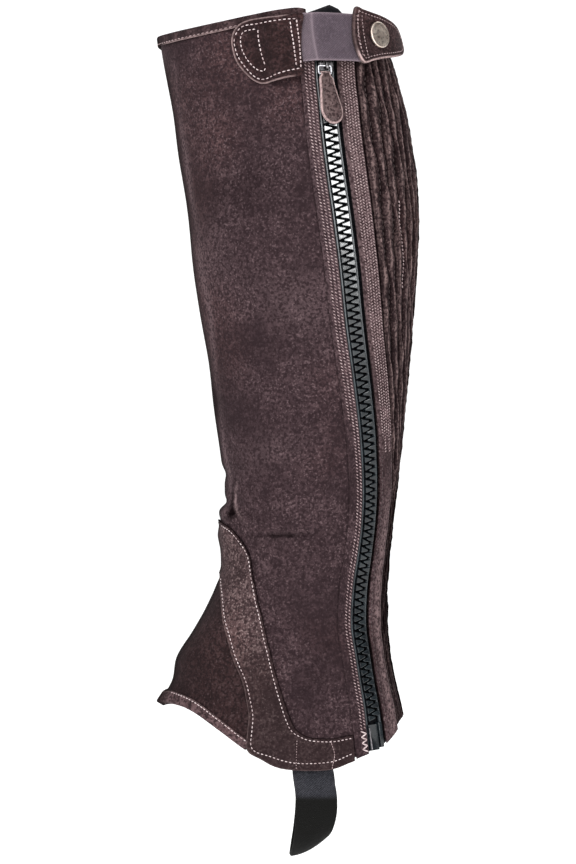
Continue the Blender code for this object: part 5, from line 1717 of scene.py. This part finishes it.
    def _slider(self) -> None:
        """Slider: a channel over the teeth with a waisted top plate and a crown for the bail."""
        body = Bench.block("slider_body", (-5.4, -3.0, -0.2), (5.4, 10.2, 3.5))
        Bench.taper(body, 1, -1, (0.78, 1.0, 1.0), (0, -3.0, 1.6))
        Bench.bevel(body, 0.7, 3)
        channel = Bench.block("channel", (-4.7, -9, -3), (4.7, 19, 2.1))
        Bench.combine(body, channel, "DIFFERENCE")
        crown = Bench.block("crown", (-1.2, -2.4, 3.3), (1.2, 2.4, 5.9))
        Bench.taper(crown, 2, 1, (0.8, 0.72, 1.0), (0, 0, 5.9))
        Bench.bevel(crown, 0.45, 3)
        Bench.combine(crown, Bench.block("eye", (-9, -1.4, 2), (9, 1.4, 5.2)), "DIFFERENCE")
        Bench.combine(body, crown, "UNION")
        seat = FORM.zip_frame(self.slider_height)
        dress(Bench.place(body, seat), Finish.SLIDER, nodes=["slider"])

    def _bail(self, matrix: Matrix) -> None:
        """Wire ring through the slider's crown and the leather pull."""
        half, drop, corner = self.bail_half_width, self.bail_drop, self.bail_corner
        route = []
        for x, y, start in ((half, 0, 90), (half, -drop, 0), (-half, -drop, -90), (-half, 0, -180)):
            centre_x = x - math.copysign(corner, x)
            centre_y = y - corner if y == 0 else y + corner
            for angle in np.radians(np.linspace(start, start - 90, 7)):
                route.append((centre_x + corner * math.cos(angle),
                              centre_y + corner * math.sin(angle), 0.0))
        route = np.array(route)
        along = np.roll(route, -1, 0) - np.roll(route, 1, 0)
        along /= np.linalg.norm(along, axis=1, keepdims=True)
        out = np.array((0.0, 0.0, 1.0))
        side = np.cross(along, out)
        grid = np.stack([
            route + self.bail_wire * (math.cos(angle) * side + math.sin(angle) * out)
            for angle in np.radians(np.linspace(0, 360, 13)[:-1])
        ], 1)
        index = np.arange(grid.shape[0] * grid.shape[1]).reshape(grid.shape[:2])
        beside = np.roll(index, -1, 1)
        turned = np.stack([index, beside, np.roll(beside, -1, 0), np.roll(index, -1, 0)], -1)
        faces = [tuple(face) for face in turned.reshape(-1, 4).tolist()]
        piece = new_mesh("pull_ring", grid.reshape(-1, 3), faces)
        face_out(piece)
        seat_in_mm(piece, matrix)
        dress(piece, Finish.BAIL, body=PULL, nodes=["pull_bail"])

    def _pull_outline(self, inset: float) -> Array:
        """Outline of the leather pull, shrunk by an inset."""
        down, half = np.array(PULL_TAB, float).T
        lean = math.tan(self.pull_lean)
        right = np.stack([half, -down], -1)
        left = right[::-1] * (-1, 1)
        tip_out = np.array([[0.0, -down[-1] - 0.5]])
        ring = np.concatenate([right, tip_out, left, right[:1]])
        ring = rounded(ring, self.outline_points + 1)[:-1]
        step = np.roll(ring, -1, 0) - np.roll(ring, 1, 0)
        step /= np.linalg.norm(step, axis=1, keepdims=True)
        ring = ring + inset * np.stack([step[:, 1], -step[:, 0]], -1)
        ring[:, 0] += lean * (-ring[:, 1] - down[0])
        return ring

    def _pull_tab(self, matrix: Matrix) -> None:
        """Leather pull, folded round the bail's lower bar and sewn to itself."""
        half, count = 0.5 * self.pull_thickness, self.outline_points
        levels = [(0.0, 0.0), (0.0, half - 0.75), (0.12, half - 0.3), (0.5, half - 0.05),
                  (1.1, half), (1.8, half - 0.12), (2.6, half + 0.02)]
        rings, raws = [], []
        for inset, level in levels:
            rings.append(np.c_[self._pull_outline(inset), np.full(count, level)])
            raws.append(np.full(count, 1.0 if inset < 0.3 else 0.55 if inset < 0.9 else 0.0))
        last = rings[-1][:, :2]
        centre = last.mean(0)
        for share in (0.75, 0.5, 0.25, 0.02):
            rise = np.full(count, half + 0.12 * (1 - share))
            rings.append(np.c_[centre + (last - centre) * share, rise])
            raws.append(np.zeros(count))
        stack = [ring * (1, 1, -1) for ring in rings[:0:-1]] + rings
        piece = new_mesh("pull_leather", np.concatenate(stack), stack_faces(len(stack), count))
        face_out(piece)
        paint(piece, "raw", np.concatenate(raws[:0:-1] + raws))
        # painted highlight down the pull's raised middle
        middle = np.concatenate([np.clip(1 - np.abs(ring[:, 0]) / 9, 0, 1) for ring in stack])
        paint(piece, "crest", 0.35 * middle)
        hole = Bench.disc("tunnel", 0.9, -9, 9, 16)
        hole.data.transform(Matrix.Translation((0, -self.bail_drop, 0))
                            @ Matrix.Rotation(math.pi / 2, 4, "Y"))
        hole.data.transform(Matrix.Scale(MM, 4))
        Bench.combine(piece, hole, "DIFFERENCE")
        seat_in_mm(piece, matrix)
        dress(piece, Finish.TRIM, body=PULL, nodes=["pull_tab"])

    def _pull_sewing(self, matrix: Matrix) -> None:
        """Dark stitches inside the pull's edge, on both faces."""
        thread = Stitching("pull_stitching", Finish.DARK_THREAD, 0.42)
        turned = np.array(matrix)
        for side in (1, -1):
            ring = self._pull_outline(1.9)
            ring = np.c_[ring, np.full(len(ring), side * 0.5 * self.pull_thickness)]
            ring = ring[ring[:, 1] < -7.5]
            points = ring @ turned[:3, :3].T + turned[:3, 3]
            starts, ends = points[:-2:3], points[2::3]
            ups = np.tile(side * turned[:3, 2], (len(starts), 1))
            thread.add(starts, ends, ups)
        thread.build(PULL)

    def build(self) -> None:
        """Make the whole zip."""
        self._strip("zip_strip_front", self.front_strip, Finish.SUEDE)
        self._strip("zip_strip_back", self.back_band, Finish.BAND)
        self._strip_sewing()
        self._tape()
        self._teeth()
        self._tape_cords()
        self._end_box()
        self._slider()
        aside = Matrix.Translation((self.pull_aside, 0, self.pull_out))
        matrix = FORM.zip_frame(self.slider_height) @ aside
        self._bail(matrix)
        self._pull_tab(matrix)
        self._pull_sewing(matrix)


class Plate:
    """Cut leather piece with a rounded raw edge, lying over the leg."""

    MM_PER_DEGREE = 0.92
    POINTS = 180
    GROOVE_AT = 2.2
    GROOVE_DEPTH = 0.12

    def __init__(self, corners: Sequence[Pair], thickness: float,
                 out: Callable[[Array], Array]) -> None:
        """Smooth the outline.

        Args:
            corners: turns and heights round the outline.
            thickness: thickness of the leather.
            out: height of its underside over the leg, at places.
        """
        self.thickness, self.out = thickness, out
        base = np.array(corners, float)
        after = np.roll(base, -1, 0)
        slopes = 0.5 * (after - np.roll(base, 1, 0))
        parts = [hermite(base, slopes, after, np.roll(slopes, -1, 0), t)
                 for t in np.linspace(0, 1, 8, endpoint=False)]
        dense = np.stack(parts, 1).reshape(-1, 2)
        closed = np.vstack([dense, dense[:1]])
        self.outline = resample(closed, np.linspace(0, 1, self.POINTS, endpoint=False))
        self.centre = self.outline.mean(0)

    def inset(self, distance: float) -> Array:
        """Outline moved in by a distance, as places."""
        ring = self.outline * (self.MM_PER_DEGREE, 1.0)
        step = np.roll(ring, -2, 0) - np.roll(ring, 2, 0)
        step /= np.linalg.norm(step, axis=1, keepdims=True)
        normal = np.stack([-step[:, 1], step[:, 0]], -1)
        centre = self.centre * (self.MM_PER_DEGREE, 1.0)
        if np.sum(normal * (centre - ring)) < 0:
            normal = -normal
        return (ring + distance * normal) / (self.MM_PER_DEGREE, 1.0)

    def build(self, name: str, finish: Finish, raw: Callable[[Array], Array]) -> Piece:
        """Make the plate.

        Args:
            name: the piece's name.
            finish: its finish.
            raw: how light the raw edge is, at places.

        Returns:
            The piece.
        """
        thick, at = self.thickness, self.GROOVE_AT
        edge = [(0.0, 0.35 * thick, 0.45), (0.0, 0.72 * thick, 0.6), (0.18, 0.9 * thick, 1.0),
                (0.5, thick, 0.9), (1.0, thick, 0.0), (at - 0.6, thick, 0.0),
                (at, thick - self.GROOVE_DEPTH, 0.0), (at + 0.6, thick, 0.0)]
        rings = [(self.inset(inset), lift, mark) for inset, lift, mark in edge]
        last = rings[-1][0]
        middle = last.mean(0)
        for share in (0.86, 0.72, 0.58, 0.44, 0.30, 0.16, 0.02):
            rings.append((middle + (last - middle) * share, thick, 0.0))
        under = [(self.inset(0.15), 0.08 * thick, 0.8), (self.inset(0.6), 0.0, 0.0)]
        under += [(middle + (last - middle) * share, 0.0, 0.0) for share in (0.9, 0.6, 0.3, 0.02)]
        stack = under[::-1] + rings
        points = [FORM.skin(places, self.out(places) + lift) for places, lift, _ in stack]
        marks = np.concatenate([raw(places) * mark for places, _, mark in stack])
        faces = stack_faces(len(stack), self.POINTS)
        piece = new_mesh(f"{name}_leather", np.concatenate(points), faces)
        face_out(piece)
        paint(piece, "raw", marks)
        return dress(piece, finish, nodes=[name])

    def row(self, distance: float) -> Array:
        """Closed row of places along the outline, a distance in."""
        ring = self.inset(distance)
        return np.vstack([ring, ring[:1]])


@dataclass
class ClosureStrap:
    """Strap over the top of the zip: sewn base, elastic, tab and snap."""

    strap_out: float = 5.6
    base_thickness: float = 1.6
    lift_turns: Pair = (80.0, 86.0)
    elastic_thickness: float = 1.4
    elastic_turns: Pair = (91.5, 133.0)
    elastic_heights: Pair = (-14.2, 13.4)
    rise_turn: float = 101.2
    rise_lean: float = 0.118
    rise_length: float = 7.5
    tab_thickness: float = 2.5
    snap: Pair = (142.3, 1.2)
    cap_radius: float = 7.5
    edge_lift: float = 1.7
    fold_turn: float = 106.2

    def _elastic_out(self, places: Array) -> Array:
        """Height of the elastic, which rises from the binding to clear the zip."""
        low = self.edge_lift + GAP
        start = self.rise_turn + self.rise_lean * places[..., 1]
        return low + (self.strap_out - low) * ease((places[..., 0] - start) / self.rise_length)

    def _base_out(self, places: Array) -> Array:
        """Height of the base: over the binding, then over the elastic."""
        turn, height = places[..., 0], places[..., 1]
        from_edge = height - FORM.top(turn) + 5.5
        low = GAP + self.edge_lift * ease((from_edge + 12.0) / 6.0)
        high = self.edge_lift + self.elastic_thickness + 2 * GAP
        start, end = self.lift_turns
        return low + (high - low) * ease((turn - start) / (end - start))

    def _base(self) -> None:
        """Sewn base of the strap, with its stitches."""
        plate = Plate(CLOSURE_BASE, self.base_thickness, self._base_out)
        piece = plate.build("closure_base", Finish.DARK,
                            lambda places: 0.42 * (1 - ease((places[:, 0] - 91.0) / 5.0)))
        thread = Stitching("closure_base_stitching", Finish.BRIGHT_THREAD, 0.62)
        bold = Stitching("closure_base_bold_stitching", Finish.BRIGHT_THREAD, 0.85)
        for sewn in CLOSURE_SEWING:
            row = rounded(np.array(sewn.corners), 12 * len(sewn.corners))
            face = self._base_out(row) + self.base_thickness
            (bold if sewn.bold else thread).row(row, face, sewn.pitch, 0.56)
        thread.build()
        bold.build()

    def _elastic(self) -> None:
        """Woven elastic between the base and the tab."""
        turns = np.linspace(*self.elastic_turns, 74)
        heights = np.linspace(*self.elastic_heights, 34)
        tuck = 1 - 0.14 * (1 - ease((turns - 96.0) / 7.0))
        places = line(turns[None, :], np.where(heights[:, None] > 0, tuck, 1.0) * heights[:, None])
        outs = self._elastic_out(places)
        selvage = np.clip(1 - np.minimum(heights - heights[0], heights[-1] - heights) / 1.6, 0, 1)
        from_fold = turns - self.fold_turn
        top = outs + self.elastic_thickness + 0.22 * selvage[:, None] + 0.22 * bell(from_fold, 0.9)
        top += 0.10 * wave(places[..., 0], 2.6, 0.2) * wave(places[..., 1], 47, 0.1)
        fold = 0.5 * bell(from_fold, 0.5) + 0.22 * (1 - ease((turns - 104.0) / 5.0))
        marks = {"raw": np.clip(0.75 * selvage[:, None] ** 2 + fold + 0 * outs, 0, 1)}
        piece = shell("closure_elastic_cloth", places, top, outs, marks, 0.3)
        dress(piece, Finish.ELASTIC, nodes=["closure_elastic"])

    def _tab(self) -> None:
        """Leather tab with the snap, sewn to the elastic."""
        low = self.strap_out + self.elastic_thickness + GAP
        plate = Plate(SNAP_TAB, self.tab_thickness, lambda places: low + 0 * places[..., 0])
        piece = plate.build("snap_tab", Finish.DARK,
                            lambda places: 0.12 + 0.88 * ease((-places[:, 1] - 7.0) / 5.0))
        thread = Stitching("snap_tab_stitching", Finish.THREAD, 0.52)
        top = low + self.tab_thickness
        thread.row(plate.row(2.3), top, pitch=2.3, share=0.6)
        for turn in (129.6, 132.6):
            row = line(np.linspace(turn - 0.6, turn, 24), np.linspace(-12.4, 14.0, 24))
            thread.row(row, top, pitch=2.0, share=0.6)
        thread.build()

    def _snap(self) -> None:
        """Pressed metal cap of the snap: domed, with a rolled rim."""
        out = self.strap_out + self.elastic_thickness + self.tab_thickness + 2 * GAP
        cap = Bench.disc("snap_cap_shell", self.cap_radius, 0.0, 1.3, 72)
        Bench.choose(cap, lambda face: face.normal.z > 0.9)
        rim = ((0.45, 0.30), (0.55, 0.02), (0.5, -0.22), (0.5, 0.02))
        dome = ((1.3, 0.30), (1.5, 0.20), (1.3, 0.06))
        Bench.raise_steps(rim + dome)
        Bench.bevel(cap, 0.3, 3, 40.0)
        dress(Bench.place(cap, FORM.seat(*self.snap, out)), Finish.SNAP, nodes=["snap_cap"])

    def build(self) -> None:
        """Make the whole strap."""
        self._base()
        self._elastic()
        self._tab()
        self._snap()
        dress(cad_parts["snap_stud"], Finish.SNAP)


@dataclass
class Understrap:
    """Elastic loop under the boot, from inside the outer hem to inside the inner one."""

    width: float = 23.5
    thickness: float = 1.8
    free_height: float = -430.0
    blend: float = 18.0
    sag: float = 2.4
    points: int = 200
    across: int = 20

    def _path(self) -> tuple[Array, Array]:
        """Points of the centre line, and the strap's direction across it."""
        side, height, forward, tilt = threaded(np.array(STRAP, float), self.points).T
        centre = np.stack([forward, side, height], -1)
        tilt = np.radians(tilt)
        return centre, np.stack([np.cos(tilt), 0 * tilt, np.sin(tilt)], -1)

    def build(self) -> None:
        """Make the strap."""
        centre, across = self._path()
        normal = np.cross(across, np.gradient(centre, axis=0))
        normal /= np.linalg.norm(normal, axis=1, keepdims=True)
        share = np.linspace(-0.5, 0.5, self.across)
        outer = centre[:, None] + across[:, None] * (share * self.width)[None, :, None]
        outer[..., 2] -= self.sag * (1 - 4 * share ** 2) * ease((-440.0 - centre[:, 2:]) / 14.0)
        inner = outer + normal[:, None] * self.thickness
        height = outer[..., 2]
        widest, back, front = FORM.widest(height), FORM.back(height), FORM.front(height)
        reach = np.where(outer[..., 0] < widest, widest - front, back - widest)
        turn = np.degrees(np.arccos(np.clip((widest - outer[..., 0]) / reach, -1, 1)))
        places = line(np.where(outer[..., 1] < 0, turn, -turn), height)
        inside = Layer.PANEL_INSIDE.value - GAP
        sewn = ease((height - self.free_height) / self.blend)[..., None]
        outer = sewn * FORM.skin(places, inside) + (1 - sewn) * outer
        inner = sewn * FORM.skin(places, inside - self.thickness) + (1 - sewn) * inner
        piece = solid_from_grids("understrap_cloth", outer, inner, {}, 0.35)
        dress(piece, Finish.STRAP, nodes=["understrap"])


@dataclass
class Studio:
    """Pale floor that curves up behind, soft lights, and the camera at the photograph's angle."""

    floor: float = -0.52
    sweep_from: float = 1.4
    sweep_radius: float = 1.2
    sweep_steps: int = 16
    sweep_rise: float = 3.0
    camera_at: tuple[float, float, float] = (0.0046, -1.8, -0.2208)
    lens: float = 130.4
    lights: tuple[tuple[str, tuple[float, float, float], float, float], ...] = (
        ("key", (-0.9, -1.9, 1.1), 1.3, 34.0),
        ("softbox", (0.87, -1.52, 0.2), 0.42, 9.0),
        ("left", (-1.7, -0.4, 0.1), 1.4, 5.0),
        ("back", (0.6, 1.4, 1.3), 1.2, 14.0),
    )

    def _sweep(self) -> None:
        """Floor that runs back and curves up."""
        Bench.clear()
        bpy.ops.mesh.primitive_plane_add(size=1.0, location=(0, 0, 0))
        sweep = bpy.context.object
        sweep.name = "studio_sweep"
        sweep.scale = (9.0, 8.8, 1.0)
        sweep.location = (0, 0, self.floor)
        bpy.ops.object.transform_apply(location=True, rotation=False, scale=True)
        for vertex in sweep.data.vertices:
            vertex.select = vertex.co.y > self.sweep_from
        for edge in sweep.data.edges:
            edge.select = all(sweep.data.vertices[k].select for k in edge.vertices)
        for face in sweep.data.polygons:
            face.select = False
        bpy.ops.object.mode_set(mode="EDIT")
        bpy.ops.mesh.select_mode(type="EDGE")
        angles = np.linspace(0, math.pi / 2, self.sweep_steps + 1)
        bends = self.sweep_radius * np.diff([0 * angles, np.sin(angles), -np.cos(angles)])
        for move in (*bends.T.tolist(), (0, 0, self.sweep_rise)):
            bpy.ops.mesh.extrude_region_move(TRANSFORM_OT_translate={"value": tuple(move)})
        Bench.leave_edit_mode()
        sweep.data.shade_smooth()
        graph = Graph("studio_paper")
        tone = graph.span(graph.noise(3.0, 2.0), 0.3, 0.7)
        colour = graph.mix(tone, (0.93, 0.93, 0.93), (0.96, 0.96, 0.96))
        graph.set(Base_Color=colour, Roughness=0.95, Specular_IOR_Level=0.1,
                  Emission_Color=(1, 1, 1, 1), Emission_Strength=0.30)
        sweep.data.materials.append(graph.material)

    def _lights(self) -> None:
        """Soft square lights that face the chap."""
        aim = Vector((0.0, 0.0, -0.2))
        for name, place, size, power in self.lights:
            light = bpy.data.lights.new(name, "AREA")
            light.size, light.energy = size, power
            if name == "softbox":
                light.shape, light.size_y = "RECTANGLE", 0.8
            holder = bpy.data.objects.new(name, light)
            holder.location = place
            holder.visible_camera = False
            holder.rotation_euler = (aim - Vector(place)).to_track_quat("-Z", "Y").to_euler()
            bpy.context.scene.collection.objects.link(holder)
        world = bpy.data.worlds.new("studio_air")
        world.use_nodes = True
        tree = world.node_tree
        background = tree.nodes["Background"]
        around = tree.nodes.new("ShaderNodeTexCoord").outputs["Generated"]
        camera_ray = tree.nodes.new("ShaderNodeLightPath").outputs["Is Camera Ray"]
        sideways = self._node(tree, "SeparateXYZ", around)
        sideways = self._node(tree, "Math", sideways, operation="ABSOLUTE")
        strength = self._node(tree, "MapRange", sideways, 0.45, 0.95, 0.85, 0.12)
        strength = self._node(tree, "Math", strength, camera_ray, operation="MAXIMUM")
        tree.links.new(strength, background.inputs["Strength"])
        background.inputs["Color"].default_value = (1.0, 1.0, 1.0, 1.0)
        bpy.context.scene.world = world

    @staticmethod
    def _node(tree: bpy.types.NodeTree, kind: str, *inputs: object, **settings: object) -> Socket:
        """Add a node, link or set its first inputs, and give its first output."""
        node = tree.nodes.new(f"ShaderNode{kind}")
        for key, value in settings.items():
            setattr(node, key, value)
        for socket, value in zip(node.inputs, inputs):
            if isinstance(value, Socket):
                tree.links.new(value, socket)
            else:
                socket.default_value = value
        return node.outputs[0]

    def _camera(self) -> None:
        """Camera at the photograph's angle."""
        data = bpy.data.cameras.new("camera")
        data.lens, data.sensor_width, data.sensor_fit = self.lens, 36.0, "AUTO"
        data.clip_end = 50.0
        camera = bpy.data.objects.new("camera", data)
        camera.location = self.camera_at
        camera.rotation_euler = (math.pi / 2, 0.0, 0.0)
        bpy.context.scene.collection.objects.link(camera)
        bpy.context.scene.camera = camera

    def build(self) -> None:
        """Make the stage."""
        self._sweep()
        self._lights()
        self._camera()
        bpy.context.scene.view_settings.view_transform = "Standard"


def main() -> None:
    """Dress the chap piece by piece, then set the stage."""
    logging.basicConfig(level=logging.INFO, format="%(name)s: %(message)s")
    Studio().build()
    panels = LegPanels()
    panels.build()
    stretch = StretchPanel(panels)
    stretch.build()
    stretch.sew()
    Bindings().build()
    AnkleStrip().build()
    ZipFastener().build()
    ClosureStrap().build()
    Understrap().build()


if __name__ == "__main__":
    main()
